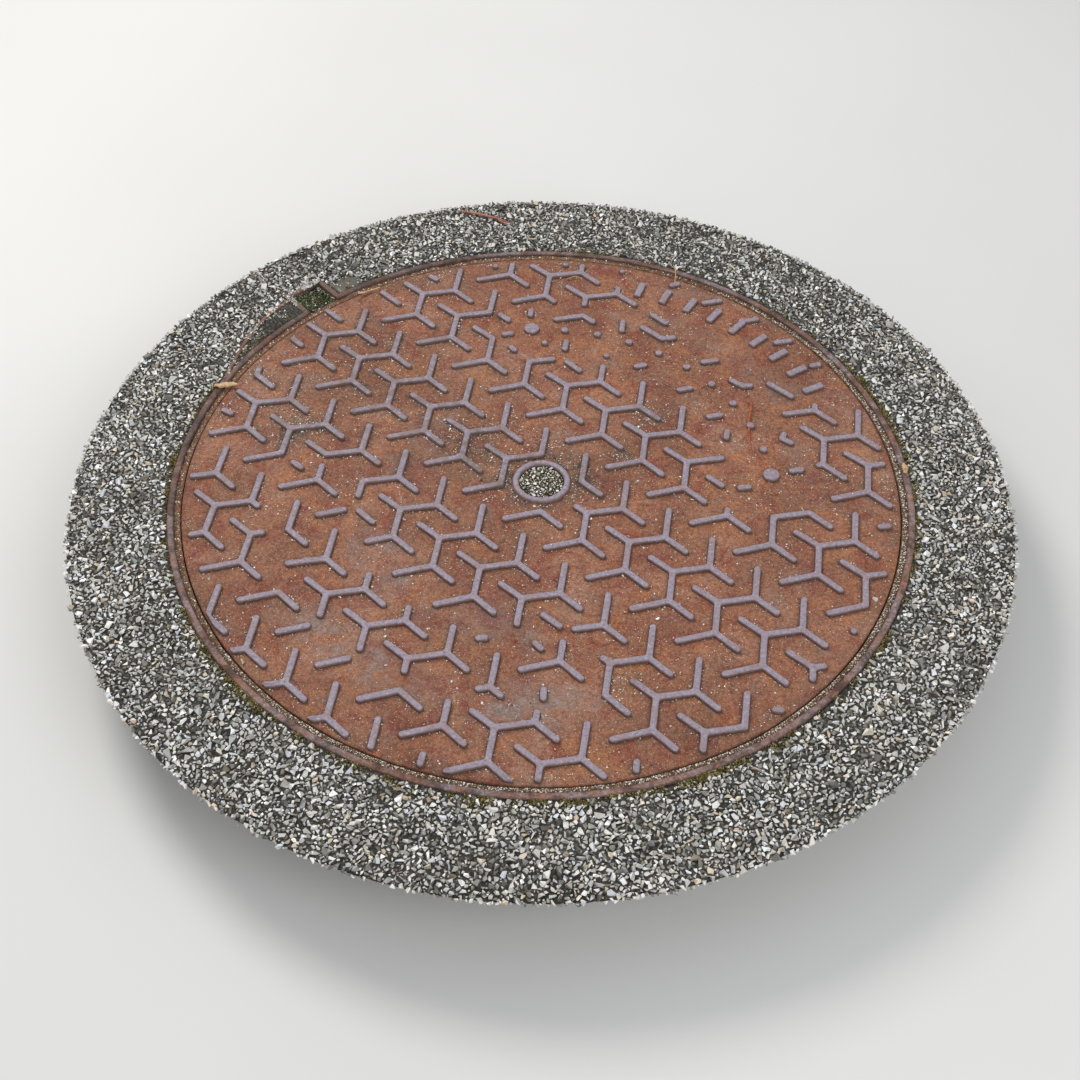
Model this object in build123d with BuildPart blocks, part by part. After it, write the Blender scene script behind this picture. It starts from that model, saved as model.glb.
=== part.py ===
from build123d import *
from math import atan2, cos, degrees, hypot, radians, sin
import os

# Round lift-off manhole cover, 600 mm clear opening, in its cast frame, bedded
# on mortar and set flush in a disc of road surface.
# Origin: centre of the underside of the mortar bed.  +Z up.  Millimetres.

# ---------------------------------------------------------------- dimensions
# levels above the underside of the mortar bed
BED_T = 12.0            # mortar bed under the frame
FRAME_H = 75.0          # height of the frame casting
RIM_Z = BED_T + FRAME_H                 # top of the frame rim, road level
SEAT_Z = 48.0           # top of the seating ledge
SEAT_RING_T = 4.0       # elastomer seating ring
COVER_FOOT_Z = SEAT_Z + SEAT_RING_T     # underside of the cover's skirt
PLATE_Z = RIM_Z - 1.5   # top of the cover plate
LAND_H = 3.5            # height of the tread lands above the plate
LAND_Z = PLATE_Z + LAND_H
PLATE_T = 8.0           # plate thickness

# radii
CLEAR_R = 300.0         # clear opening, 600 mm diameter
COVER_R = 325.0         # cover, 650 mm diameter
SKIRT_T = 12.0
RIM_IN_R = 331.5        # inside of the rim at the top
RIM_OUT_R = 337.5       # outside of the rim
WALL_IN_R = 329.0       # inside of the wall at the seat
FLANGE_R = 367.0        # base flange
FLANGE_T = 8.0
LOWER_WALL_R = 308.0    # outside of the lower wall
SURROUND_R = 427.0      # disc of road surface at road level
COURSE_T = 40.0         # thickness of the asphalt course
SPLAY = 0.75            # inward run of the disc's side per unit of depth

# lifting socket in the middle of the cover
SOCKET_R = 20.8         # mouth
BOSS_R = 25.9           # raised ring around the mouth
BOSS_UNDER_R = 31.0     # boss under the plate
CUP_OUT_R = 23.0
CUP_IN_R = 20.2
CUP_FOOT_Z = 48.0
CUP_FLOOR_T = 3.0
CUP_HEAD_Z = 79.0       # shoulder that the cup is pressed against
BAR_R = 6.0
BAR_Z = 68.0
BAR_L = 58.0

# pry pocket in the frame, where a bar goes in under the cover's edge
POCKET_DEG = 132.2
POCKET_W = 34.0
POCKET_WALL = 5.0
POCKET_END_R = 370.5    # outside of the end wall
POCKET_FLOOR_Z = 50.0
POCKET_TOP_Z = RIM_Z - 0.3
WING_FOOT_Z = 62.0      # foot of the wing wall beside the pocket
WING_T = 3.2
NOTCH_TOP_Z = PLATE_Z - PLATE_T         # top of the notch in the cover's skirt

# stiffening
WEB_COUNT = 12
WEB_T = 6.0
RIB_COUNT = 8
RIB_T = 6.0
RIB_DEPTH = 20.0
RING_RIB_R = 180.0


def ray(r, deg):
    return (r * cos(radians(deg)), r * sin(radians(deg)))


# ---------------------------------------------------------------- tread lands
# A land figure has three hubs, A, B and C, joined A-B and A-C, and five free
# arms.  Figures repeat on the lattice  A(i, j) = LAT_O + i * LAT_1 + j * LAT_2.
LAND_W = 5.6
LAT_O = (-89.4, -70.4)
LAT_1 = (36.77, -34.05)
LAT_2 = (56.62, 99.29)
HUB_A, HUB_B, HUB_C = (0.0, 0.0), (32.42, 5.56), (-4.45, -32.59)
ARMS = {
    "AU": (HUB_A, (-18.20, 15.84)),
    "AB": (HUB_A, HUB_B),
    "AC": (HUB_A, HUB_C),
    "BU": (HUB_B, (37.07, 38.08)),
    "BL": (HUB_B, (49.20, -10.78)),
    "CL": (HUB_C, (-36.40, -41.45)),
    "CR": (HUB_C, (12.81, -49.88)),
}
WHOLE = "AU AB AC BU BL CL CR"
# figures with every arm
WHOLE_FIGURES = [
    (-4, 2), (1, 2), (2, 2), (6, 2), (-5, 1), (-4, 1), (-3, 1), (-2, 1), (-1, 1),
    (3, 1), (4, 1), (5, 1), (6, 1), (0, 0), (1, 0), (5, 0), (-5, 0),
]
# figures cut short by the rim, the middle ring and the smooth fields; a range
# such as 0.3-1 keeps that stretch of the arm, counted from its hub
CUT_FIGURES = {
    (-3, 2): "AU AB AC BU CL CR",
    (-2, 2): "AU AC CL CR",
    (-1, 2): "AB:0-0.7 AC CL CR",
    (0, 2): "AU AB AC BU:0-0.68 BL CL CR",
    (3, 2): "AU AB AC CL CR",
    (4, 2): "AC:0.8-1 CL CR",
    (5, 2): "AB BL AC CL CR",
    (7, 2): "AU AB:0-0.5 AC CL",
    (-5, 2): "CR",
    (5, 3): "AU AB AC BU BL CR CL:0-0.12",
    (6, 3): "AU AB:0-0.42 AC CL CR",
    (4, 3): "AB:0.12-1 BU:0-0.2 BL",
    (-1, 3): "AU AB AC:0-0.35 BU:0-0.25 BL",
    (-2, 3): "AU AB AC BU:0-0.32 BL CL CR:0-0.5",
    (-3, 3): "AC:0.5-1 CL CR",
    (-6, 1): "BL:0.15-1",
    (-6, 0): "BU:0-0.3 BL",
    (-4, 0): "AU AB AC BU BL CL",
    (-3, 0): "AU AB AC:0.47-1 BU BL CL CR",
    (-2, 0): "AB BU BL AC:0-0.55 CL:0.3-1 CR:0.25-1",
    (-1, 0): "AU AB AC BU BL CL:0-0.7 CR",
    (2, 0): "AU AB BU BL AC:0-0.85",
    (3, 0): "AU:0.25-1 AB:0.25-1 BU BL AC:0.4-1 CL CR",
    (4, 0): "AU:0-0.3 AB BU BL AC CR",
    (6, 0): "AU AB BU AC:0-0.5",
    (0, 1): "AU AB AC BU CL",
    (1, 1): "BU BL CL CR",
    (2, 1): "AU:0-0.5 AB BU BL AC CL CR",
    (7, 1): "AU AB:0-0.28 AC:0-0.35",
    (-5, -1): "AB:0.35-1 BU BL",
    (-4, -1): "AU AB AC BU BL:0-0.35 CL:0-0.35 CR",
    (-3, -1): "AU AB:0-0.3 AC BU BL CL CR",
    (-2, -1): "AB BU BL CL CR",
    (-1, -1): "AU AB BU:0-0.5 BL AC:0-0.7 CL:0.25-1",
    (0, -1): "AU AB BU:0-0.42 BL AC:0-0.75 CL:0.25-1",
    (1, -1): "AU AB BU:0-0.85 BL AC:0-0.4 CL CR",
    (2, -1): "AB:0.7-1 BU BL:0-0.5 AC:0.3-1 CL CR",
    (3, -1): "AU AB BU:0-0.28 BL AC CL CR",
    (4, -1): "AU AB BU BL AC:0-0.42",
    (-3, -2): "BU BL",
    (-2, -2): "AB:0.68-1 BU BL",
    (-1, -2): "AB:0.5-1 BU BL",
    (0, -2): "AB:0.6-1 BU BL",
    (1, -2): "BU:0.2-1",
}
# short lands left standing alone, each a chain of points
LONE_LANDS = [
    [(-43.0, 232.4), (-34.9, 224.4)],
    [(-38.4, 202.6), (-31.5, 204.1)],
    [(-12.0, 239.3), (-12.6, 232.4)],
    [(-30.9, 182.6), (-28.1, 179.1)],
    [(23.5, 192.3), (22.1, 181.4)],
    [(24.1, 162.2), (36.1, 149.9)],
    [(92.2, 156.8), (100.0, 159.4)],
    [(80.8, 223.8), (79.3, 210.1)],
    [(111.4, 233.8), (123.5, 222.1)],
    [(100.5, 214.7), (118.9, 198.3), (130.3, 199.8)],
    [(13.5, 226.1), (40.7, 232.4), (50.1, 223.0)],
    [(132.3, 123.9), (143.2, 126.7)],
    [(158.1, 164.2), (171.3, 167.1)],
    [(183.9, 137.9), (193.9, 129.9), (201.1, 130.7)],
    [(220.0, 133.3), (239.5, 116.1)],
    [(158.1, 86.9), (169.0, 89.2)],
    [(173.0, 58.8), (174.4, 66.8)],
    [(153.0, 7.0), (164.1, -3.3)],
    [(180.8, -5.9), (188.5, -4.8)],
    [(132.9, 281.7), (139.2, 284.0)],
    [(164.4, 253.6), (180.8, 257.6)],
    [(200.2, 225.5), (215.7, 229.0)],
    [(232.3, 193.7), (246.1, 196.6)],
    [(264.1, 159.9), (271.0, 161.7)],
    [(-116.6, 292.0), (-110.6, 287.7)],
    [(-248.1, 192.3), (-239.2, 183.4)],
    [(-302.2, 89.5), (-295.3, 85.2)],
    [(-228.3, 21.0), (-221.1, 14.7)],
    [(-51.6, -182.1), (-45.8, -181.5)],
    [(-4.0, -186.9), (0.6, -192.1)],
    [(3.4, -234.5), (2.9, -242.5)],
    [(189.6, -252.0), (194.5, -252.3)],
    [(301.9, -52.6), (309.1, -51.5)],
    [(-91.1, -298.1), (-92.8, -306.4)],
    [(76.5, -303.2), (75.6, -310.7)],
    [(230.3, 16.1), (238.6, 17.6)],
    [(227.7, 64.3), (225.1, 58.3), (232.6, 52.8)],
]
LONE_STUDS = [(2.0, 189.9), (63.0, 172.1), (-50.0, 310.3), (23.5, 313.8), (82.5, 303.2), (263.0, -170.9)]
# plain studs and plain radial pads in the two smooth fields
FIELD_STUD_R = 3.6
FIELD_STUDS = [ray(211.0, a) for a in (12, 21, 30, 39, 48, 57, 66, 75, 84)]
FIELD_DISC_R = 7.5
FIELD_DISCS = [ray(211.0, 3.0), ray(212.0, 93.0)]
PAD_L, PAD_W, PAD_R = 22.0, 7.0, 291.5
PAD_DEGS = [26.0 + 5.5 * k for k in range(9)]


def land_chains():
    """Every straight stretch of land: start, end."""
    out = []
    figures = {key: WHOLE for key in WHOLE_FIGURES}
    figures.update(CUT_FIGURES)
    for (i, j), words in figures.items():
        ax = LAT_O[0] + i * LAT_1[0] + j * LAT_2[0]
        ay = LAT_O[1] + i * LAT_1[1] + j * LAT_2[1]
        for word in words.split():
            name, _, span = word.partition(":")
            u0, u1 = (float(v) for v in span.split("-")) if span else (0.0, 1.0)
            (x0, y0), (x1, y1) = ARMS[name]
            out.append((
                (ax + x0 + (x1 - x0) * u0, ay + y0 + (y1 - y0) * u0),
                (ax + x0 + (x1 - x0) * u1, ay + y0 + (y1 - y0) * u1),
            ))
    for chain in LONE_LANDS:
        out += list(zip(chain[:-1], chain[1:]))
    return out


# stretches of equal length are placed together
by_length = {}
for (x0, y0), (x1, y1) in land_chains():
    length = round(hypot(x1 - x0, y1 - y0), 2)
    spot = Location(((x0 + x1) / 2, (y0 + y1) / 2, 0), (0, 0, degrees(atan2(y1 - y0, x1 - x0))))
    by_length.setdefault(length, []).append(spot)

# ---------------------------------------------------------------- cover
with BuildPart() as cover_casting:
    # plate with its skirt, boss and raised ring, turned about the middle
    with BuildSketch(Plane.XZ):
        with BuildLine():
            Polyline(
                (SOCKET_R, CUP_HEAD_Z),
                (SOCKET_R, LAND_Z),
                (BOSS_R, LAND_Z),
                (BOSS_R + 0.8, PLATE_Z),
                (COVER_R - 1.2, PLATE_Z),
                (COVER_R, PLATE_Z - 1.2),
                (COVER_R - 1.5, COVER_FOOT_Z),
                (COVER_R - SKIRT_T - 1.5, COVER_FOOT_Z),
                (COVER_R - SKIRT_T - 0.5, PLATE_Z - PLATE_T),
                (BOSS_UNDER_R, PLATE_Z - PLATE_T),
                (BOSS_UNDER_R, 56.0),
                (CUP_OUT_R, 56.0),
                (CUP_OUT_R, CUP_HEAD_Z),
                close=True,
            )
        make_face()
    revolve(axis=Axis.Z)
    # stiffening ribs under the plate
    with BuildSketch(Plane.XY.offset(PLATE_Z - PLATE_T - RIB_DEPTH)):
        with PolarLocations(0, RIB_COUNT, start_angle=22.5):
            with Locations(((BOSS_UNDER_R - 2 + COVER_R - SKIRT_T) / 2, 0)):
                Rectangle(COVER_R - SKIRT_T - BOSS_UNDER_R + 2, RIB_T)
    extrude(amount=RIB_DEPTH + 1)
    with BuildSketch(Plane.XY.offset(PLATE_Z - PLATE_T - RIB_DEPTH + 2)):
        Circle(RING_RIB_R + RIB_T / 2)
        Circle(RING_RIB_R - RIB_T / 2, mode=Mode.SUBTRACT)
    extrude(amount=RIB_DEPTH - 1)
    # tread lands
    with BuildSketch(Plane.XY.offset(PLATE_Z - 0.5)):
        for length, spots in by_length.items():
            with Locations(*spots):
                SlotCenterToCenter(length, LAND_W)
        with Locations(*LONE_STUDS):
            Circle(LAND_W / 2)
        with Locations(*FIELD_STUDS):
            Circle(FIELD_STUD_R)
        with Locations(*FIELD_DISCS):
            Circle(FIELD_DISC_R)
        for deg in PAD_DEGS:
            with Locations(Location((*ray(PAD_R, deg), 0), (0, 0, deg))):
                RectangleRounded(PAD_L, PAD_W, 1.5)
    extrude(amount=LAND_H + 0.5)
    # notch through the skirt, where the pry bar gets under the plate
    with BuildSketch(Plane.XY.offset(COVER_FOOT_Z)):
        with Locations(Location((*ray(COVER_R - 6, POCKET_DEG), 0), (0, 0, POCKET_DEG))):
            Rectangle(2 * SKIRT_T + 8, POCKET_W)
    extrude(amount=NOTCH_TOP_Z - COVER_FOOT_Z, mode=Mode.SUBTRACT)
    # cross hole for the lifting bar
    with BuildSketch(Plane.YZ):
        with Locations((0, BAR_Z)):
            Circle(BAR_R)
    extrude(amount=BAR_L / 2, both=True, mode=Mode.SUBTRACT)
cover_casting.part.label = "cover_casting"

# ---------------------------------------------------------------- lifting socket
with BuildPart() as key_cup:
    with BuildSketch(Plane.XZ):
        with BuildLine():
            Polyline(
                (0, CUP_FOOT_Z),
                (CUP_OUT_R, CUP_FOOT_Z),
                (CUP_OUT_R, CUP_HEAD_Z),
                (CUP_IN_R, CUP_HEAD_Z),
                (CUP_IN_R, CUP_FOOT_Z + CUP_FLOOR_T),
                (0, CUP_FOOT_Z + CUP_FLOOR_T),
                close=True,
            )
        make_face()
    revolve(axis=Axis.Z)
    with BuildSketch(Plane.YZ):
        with Locations((0, BAR_Z)):
            Circle(BAR_R)
    extrude(amount=BAR_L / 2, both=True, mode=Mode.SUBTRACT)
key_cup.part.label = "key_cup"

with BuildPart() as lifting_bar:
    with BuildSketch(Plane.YZ):
        with Locations((0, BAR_Z)):
            Circle(BAR_R)
    extrude(amount=BAR_L / 2, both=True)
    chamfer(lifting_bar.edges().filter_by(GeomType.CIRCLE), length=0.8)
lifting_bar.part.label = "lifting_bar"

# ---------------------------------------------------------------- seating ring
with BuildPart() as seat_ring:
    with BuildSketch(Plane.XZ):
        with BuildLine():
            Polyline(
                (303.0, SEAT_Z),
                (327.0, SEAT_Z),
                (327.0, SEAT_Z + 3.0),
                (326.0, SEAT_Z + SEAT_RING_T),
                (305.0, SEAT_Z + SEAT_RING_T),
                (303.0, SEAT_Z + 2.0),
                close=True,
            )
        make_face()
    revolve(axis=Axis.Z)
seat_ring.part.label = "seat_ring"

# ---------------------------------------------------------------- frame
POCKET_MID_R = (RIM_IN_R - 1.0 + POCKET_END_R) / 2
POCKET_LEN = POCKET_END_R - RIM_IN_R + 1.0
with BuildPart() as frame_casting:
    # flange, lower wall, seating ledge, upper wall and rim
    with BuildSketch(Plane.XZ):
        with BuildLine():
            Polyline(
                (CLEAR_R, BED_T),
                (FLANGE_R, BED_T),
                (FLANGE_R, BED_T + FLANGE_T),
                (LOWER_WALL_R, BED_T + FLANGE_T),
                (LOWER_WALL_R, SEAT_Z - 8),
                (RIM_OUT_R, SEAT_Z - 8),
                (RIM_OUT_R, RIM_Z - 0.8),
                (RIM_OUT_R - 0.8, RIM_Z),
                (RIM_IN_R + 0.8, RIM_Z),
                (RIM_IN_R, RIM_Z - 0.8),
                (WALL_IN_R, SEAT_Z),
                (CLEAR_R, SEAT_Z),
                close=True,
            )
        make_face()
    revolve(axis=Axis.Z)
    # webs between the flange and the wall
    for k in range(WEB_COUNT):
        with BuildSketch(Plane.XZ.rotated((0, 0, 360.0 / WEB_COUNT * k + 12.2)).offset(-WEB_T / 2)):
            with BuildLine():
                Polyline(
                    (LOWER_WALL_R - 2, BED_T + FLANGE_T - 1),
                    (FLANGE_R - 4, BED_T + FLANGE_T - 1),
                    (FLANGE_R - 4, BED_T + FLANGE_T + 3),
                    (RIM_OUT_R, SEAT_Z + 6),
                    (RIM_OUT_R - 2, SEAT_Z + 6),
                    (RIM_OUT_R - 2, SEAT_Z - 6),
                    (LOWER_WALL_R - 2, SEAT_Z - 6),
                    close=True,
                )
            make_face()
        extrude(amount=WEB_T)
    # the wall is cut away in front of the pry pocket
    with BuildSketch(Plane.XY.offset(POCKET_FLOOR_Z)):
        with Locations(Location((*ray((322.0 + POCKET_END_R - POCKET_WALL) / 2, POCKET_DEG), 0), (0, 0, POCKET_DEG))):
            Rectangle(POCKET_END_R - POCKET_WALL - 322.0, POCKET_W)
    extrude(amount=RIM_Z - POCKET_FLOOR_Z + 5, mode=Mode.SUBTRACT)
frame_casting.part.label = "frame_casting"

# ---------------------------------------------------------------- pry pocket
# a box set against the outside of the rim, with a curved wing wall that ties
# its corner back to the rim
with BuildPart() as pocket_casting:
    with BuildSketch(Plane.XY.offset(POCKET_FLOOR_Z - POCKET_WALL)):
        with Locations(Location((*ray((333.0 + POCKET_END_R) / 2, POCKET_DEG), 0), (0, 0, POCKET_DEG))):
            Rectangle(POCKET_END_R - 333.0, POCKET_W + 2 * POCKET_WALL)
    extrude(amount=POCKET_TOP_Z - POCKET_FLOOR_Z + POCKET_WALL)
    with BuildSketch(Plane.XY.offset(POCKET_FLOOR_Z)):
        with Locations(Location((*ray((322.0 + POCKET_END_R - POCKET_WALL) / 2, POCKET_DEG), 0), (0, 0, POCKET_DEG))):
            Rectangle(POCKET_END_R - POCKET_WALL - 322.0, POCKET_W)
    extrude(amount=RIM_Z - POCKET_FLOOR_Z + 5, mode=Mode.SUBTRACT)
    with BuildSketch(Plane.XY.offset(WING_FOOT_Z)):
        with BuildLine():
            Spline(
                ray(362.8, 135.3),
                ray(361.5, 139.3),
                ray(357.0, 143.5),
                ray(347.0, 149.6),
                ray(335.6, 157.0),
            )
        trace(line_width=WING_T)
    extrude(amount=POCKET_TOP_Z - WING_FOOT_Z)
    # it stops at the outside of the rim
    with BuildSketch(Plane.XY.offset(POCKET_FLOOR_Z - POCKET_WALL - 5)):
        Circle(RIM_OUT_R)
    extrude(amount=RIM_Z, mode=Mode.SUBTRACT)
    add(frame_casting.part, mode=Mode.SUBTRACT)
pocket_casting.part.label = "pocket_casting"

# ---------------------------------------------------------------- surround
COURSE_Z = RIM_Z - COURSE_T             # underside of the asphalt course
HAUNCH_TOP_R = SURROUND_R - SPLAY * COURSE_T
HAUNCH_FOOT_R = SURROUND_R - SPLAY * FRAME_H
BED_FOOT_R = SURROUND_R - SPLAY * RIM_Z

with BuildPart() as mortar_bed:
    with BuildSketch(Plane.XZ):
        with BuildLine():
            Polyline(
                (CLEAR_R + 2, 0),
                (BED_FOOT_R, 0),
                (HAUNCH_FOOT_R, BED_T),
                (CLEAR_R + 2, BED_T),
                close=True,
            )
        make_face()
    revolve(axis=Axis.Z)
mortar_bed.part.label = "mortar_bed"

with BuildPart() as concrete_haunch:
    with BuildSketch(Plane.XZ):
        with BuildLine():
            Polyline(
                (LOWER_WALL_R, BED_T),
                (HAUNCH_FOOT_R, BED_T),
                (HAUNCH_TOP_R, COURSE_Z),
                (LOWER_WALL_R, COURSE_Z),
                close=True,
            )
        make_face()
    revolve(axis=Axis.Z)
    add(frame_casting.part, mode=Mode.SUBTRACT)
    add(pocket_casting.part, mode=Mode.SUBTRACT)
    # the ledge and the space under the cover stay clear of concrete
    with BuildSketch(Plane.XY.offset(SEAT_Z - 8)):
        Circle(RIM_OUT_R - 1.0)
    extrude(amount=40, mode=Mode.SUBTRACT)
concrete_haunch.part.label = "concrete_haunch"

with BuildPart() as asphalt_surround:
    with BuildSketch(Plane.XZ):
        with BuildLine():
            Polyline(
                (RIM_OUT_R, COURSE_Z),
                (HAUNCH_TOP_R, COURSE_Z),
                (SURROUND_R, RIM_Z - 2.7),
                (SURROUND_R - 2.5, RIM_Z - 0.6),
                (RIM_OUT_R, RIM_Z - 0.6),
                close=True,
            )
        make_face()
    revolve(axis=Axis.Z)
    # the pocket's hollow stays open
    with BuildSketch(Plane.XY.offset(POCKET_FLOOR_Z - POCKET_WALL)):
        with Locations(Location((*ray((330.0 + POCKET_END_R) / 2, POCKET_DEG), 0), (0, 0, POCKET_DEG))):
            Rectangle(POCKET_END_R - 330.0, POCKET_W + 2 * POCKET_WALL)
    extrude(amount=RIM_Z, mode=Mode.SUBTRACT)
    add(frame_casting.part, mode=Mode.SUBTRACT)
    add(pocket_casting.part, mode=Mode.SUBTRACT)
asphalt_surround.part.label = "asphalt_surround"

# ---------------------------------------------------------------- files
os.makedirs("parts", exist_ok=True)
export_step(cover_casting.part, "parts/cover_casting.step")
export_step(key_cup.part, "parts/key_cup.step")
export_step(lifting_bar.part, "parts/lifting_bar.step")
export_step(seat_ring.part, "parts/seat_ring.step")
export_step(frame_casting.part, "parts/frame_casting.step")
export_step(pocket_casting.part, "parts/pocket_casting.step")
export_step(mortar_bed.part, "parts/mortar_bed.step")
export_step(concrete_haunch.part, "parts/concrete_haunch.step")
export_step(asphalt_surround.part, "parts/asphalt_surround.step")
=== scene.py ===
import math

import bmesh
import bpy
import numpy as np
from mathutils import Matrix, Vector


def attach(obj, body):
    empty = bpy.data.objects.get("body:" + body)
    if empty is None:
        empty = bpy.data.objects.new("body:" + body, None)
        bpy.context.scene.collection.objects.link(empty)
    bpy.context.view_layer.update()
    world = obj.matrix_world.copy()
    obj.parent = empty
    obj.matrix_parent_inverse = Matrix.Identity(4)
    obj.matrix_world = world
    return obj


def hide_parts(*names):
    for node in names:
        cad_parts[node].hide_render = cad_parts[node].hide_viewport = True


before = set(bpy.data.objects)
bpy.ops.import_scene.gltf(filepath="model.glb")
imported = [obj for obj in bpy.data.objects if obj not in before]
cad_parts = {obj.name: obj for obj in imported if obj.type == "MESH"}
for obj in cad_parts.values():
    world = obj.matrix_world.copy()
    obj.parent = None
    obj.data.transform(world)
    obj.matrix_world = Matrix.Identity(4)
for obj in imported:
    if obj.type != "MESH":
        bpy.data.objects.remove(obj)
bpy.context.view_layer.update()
MM = 0.001
COVER, FRAME = "cover_set", "frame_set"

# ------------------------------------------------------------------ sizes, mm
RIM_Z, PLATE_Z, LAND_H, PLATE_T = 87.0, 85.5, 3.5, 8.0
COVER_R, SKIRT_T, COVER_FOOT_Z = 325.0, 12.0, 52.0
RIM_IN_R, RIM_OUT_R = 331.5, 337.5
SURROUND_R, COURSE_Z, BED_T = 427.0, 47.0, 12.0
SOCKET_R, BOSS_R, BOSS_UNDER_R = 20.8, 25.9, 31.0
CUP_OUT_R, CUP_HEAD_Z = 23.0, 79.0
POCKET_DEG, POCKET_W, POCKET_END_R, POCKET_WALL = 132.2, 34.0, 370.5, 5.0
NOTCH_TOP_Z = PLATE_Z - PLATE_T
LAND_W = 5.6


def ray(r, deg):
    return (r * math.cos(math.radians(deg)), r * math.sin(math.radians(deg)))


def polar(r, deg):
    a = np.radians(deg)
    return r * np.cos(a), r * np.sin(a)


def ease(lo, hi, x):
    t = np.clip((x - lo) / (hi - lo), 0, 1)
    return t * t * (3 - 2 * t)


def turned(a, b):
    """Signed angle from b to a, degrees."""
    return (np.asarray(a, float) - b + 180.0) % 360.0 - 180.0


# ------------------------------------------------------------------ noise
_tables = {}


def value_noise(x, y, seed):
    if seed not in _tables:
        _tables[seed] = np.random.default_rng(seed).random((256, 256)) * 2 - 1
    t = _tables[seed]
    xi, yi = np.floor(x).astype(int), np.floor(y).astype(int)
    fx, fy = x - xi, y - yi
    fx, fy = fx * fx * (3 - 2 * fx), fy * fy * (3 - 2 * fy)
    x0, x1, y0, y1 = xi % 256, (xi + 1) % 256, yi % 256, (yi + 1) % 256
    a = t[x0, y0] * (1 - fx) + t[x1, y0] * fx
    b = t[x0, y1] * (1 - fx) + t[x1, y1] * fx
    return a * (1 - fy) + b * fy


def fbm(x, y, scale, octaves, seed):
    x, y = np.asarray(x, float) / scale, np.asarray(y, float) / scale
    out, amp, total = 0.0, 1.0, 0.0
    for k in range(octaves):
        c, s = math.cos(0.6 * k + 0.3), math.sin(0.6 * k + 0.3)
        out = out + amp * value_noise((x * c - y * s) * 2**k + 17.3 * k, (x * s + y * c) * 2**k + 9.1 * k, seed + k)
        total += amp
        amp *= 0.5
    return out / total


# ------------------------------------------------------------------ mesh helpers
def build(name, verts, faces, mat, body, smooth=True, attrs=None, fix_normals=False, facets=None):
    """A mesh piece from millimetre points.  faces is a list of index arrays or of index lists."""
    me = bpy.data.meshes.new(name)
    rows = []
    for f in faces:
        rows += f.tolist() if isinstance(f, np.ndarray) else [f]
    me.from_pydata((np.asarray(verts, float) * MM).tolist(), [], rows)
    if fix_normals:
        bm = bmesh.new()
        bm.from_mesh(me)
        bmesh.ops.recalc_face_normals(bm, faces=bm.faces)
        bm.to_mesh(me)
        bm.free()
    me.polygons.foreach_set("use_smooth", np.full(len(me.polygons), smooth))
    for key, values in (attrs or {}).items():
        at = me.attributes.new(key, "FLOAT", "POINT")
        at.data.foreach_set("value", np.asarray(values, np.float32))
    if facets is not None:
        at = me.attributes.new("facet", "FLOAT", "FACE")
        at.data.foreach_set("value", np.random.default_rng(facets).random(len(me.polygons)).astype(np.float32))
    me.materials.append(mat)
    me.update()
    o = bpy.data.objects.new(name, me)
    bpy.context.scene.collection.objects.link(o)
    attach(o, body)
    return o


def lathe(profile, degs, wiggle=None, closed=True, wrap=True):
    """Points and quads of a turned profile.  wiggle(r, z, deg) gives changes in r and z."""
    P, degs = np.asarray(profile, float), np.asarray(degs, float)
    m, n = len(P), len(degs)
    r = np.repeat(P[:, :1], n, 1)
    z = np.repeat(P[:, 1:2], n, 1)
    d = np.repeat(degs[None], m, 0)
    if wiggle:
        dr, dz = wiggle(r, z, d)
        r, z = r + dr, z + dz
    x, y = polar(r, d)
    V = np.stack([x, y, z], -1).reshape(-1, 3)
    i = np.arange(m if closed else m - 1)
    j = np.arange(n if wrap else n - 1)
    I, J = np.meshgrid(i, j, indexing="ij")
    I1, J1 = (I + 1) % m, (J + 1) % n
    Q = np.stack([I * n + J, I * n + J1, I1 * n + J1, I1 * n + J], -1).reshape(-1, 4)
    return V, Q


def hulls(count, seed, flat=0.7, points=13, rough=0.25, shave=0.0):
    """Convex stones about 1 in radius, as (points, triangles)."""
    rng = np.random.default_rng(seed)
    out = []
    for _ in range(count):
        p = rng.normal(size=(points, 3))
        p /= np.linalg.norm(p, axis=1)[:, None]
        p *= 1 - rough * rng.random((points, 1))
        p *= np.array([1.0, rng.uniform(0.68, 0.95), flat * rng.uniform(0.8, 1.15)])
        if shave:
            p[:, 2] = np.minimum(p[:, 2], flat * shave)
        bm = bmesh.new()
        vs = [bm.verts.new(q) for q in p]
        made = bmesh.ops.convex_hull(bm, input=vs)
        loose = [v for v in bm.verts if not v.link_faces]
        bmesh.ops.delete(bm, geom=loose, context="VERTS")
        bmesh.ops.triangulate(bm, faces=bm.faces)
        bmesh.ops.recalc_face_normals(bm, faces=bm.faces)
        bm.verts.index_update()
        out.append((np.array([v.co[:] for v in bm.verts]), np.array([[v.index for v in f.verts] for f in bm.faces])))
        bm.free()
    return out


def turns(yaw, tilt, way):
    """Rotation matrices: yaw about z, after a tilt about a level axis that points along way."""
    cy, sy, ct, st, cw, sw = np.cos(yaw), np.sin(yaw), np.cos(tilt), np.sin(tilt), np.cos(way), np.sin(way)
    o, l = np.zeros_like(cy), np.ones_like(cy)
    Z = np.stack([cy, -sy, o, sy, cy, o, o, o, l], -1).reshape(-1, 3, 3)
    k = 1 - ct
    T = np.stack([ct + cw * cw * k, cw * sw * k, sw * st, cw * sw * k, ct + sw * sw * k, -cw * st, -sw * st, cw * st, ct], -1).reshape(-1, 3, 3)
    return T @ Z


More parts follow.
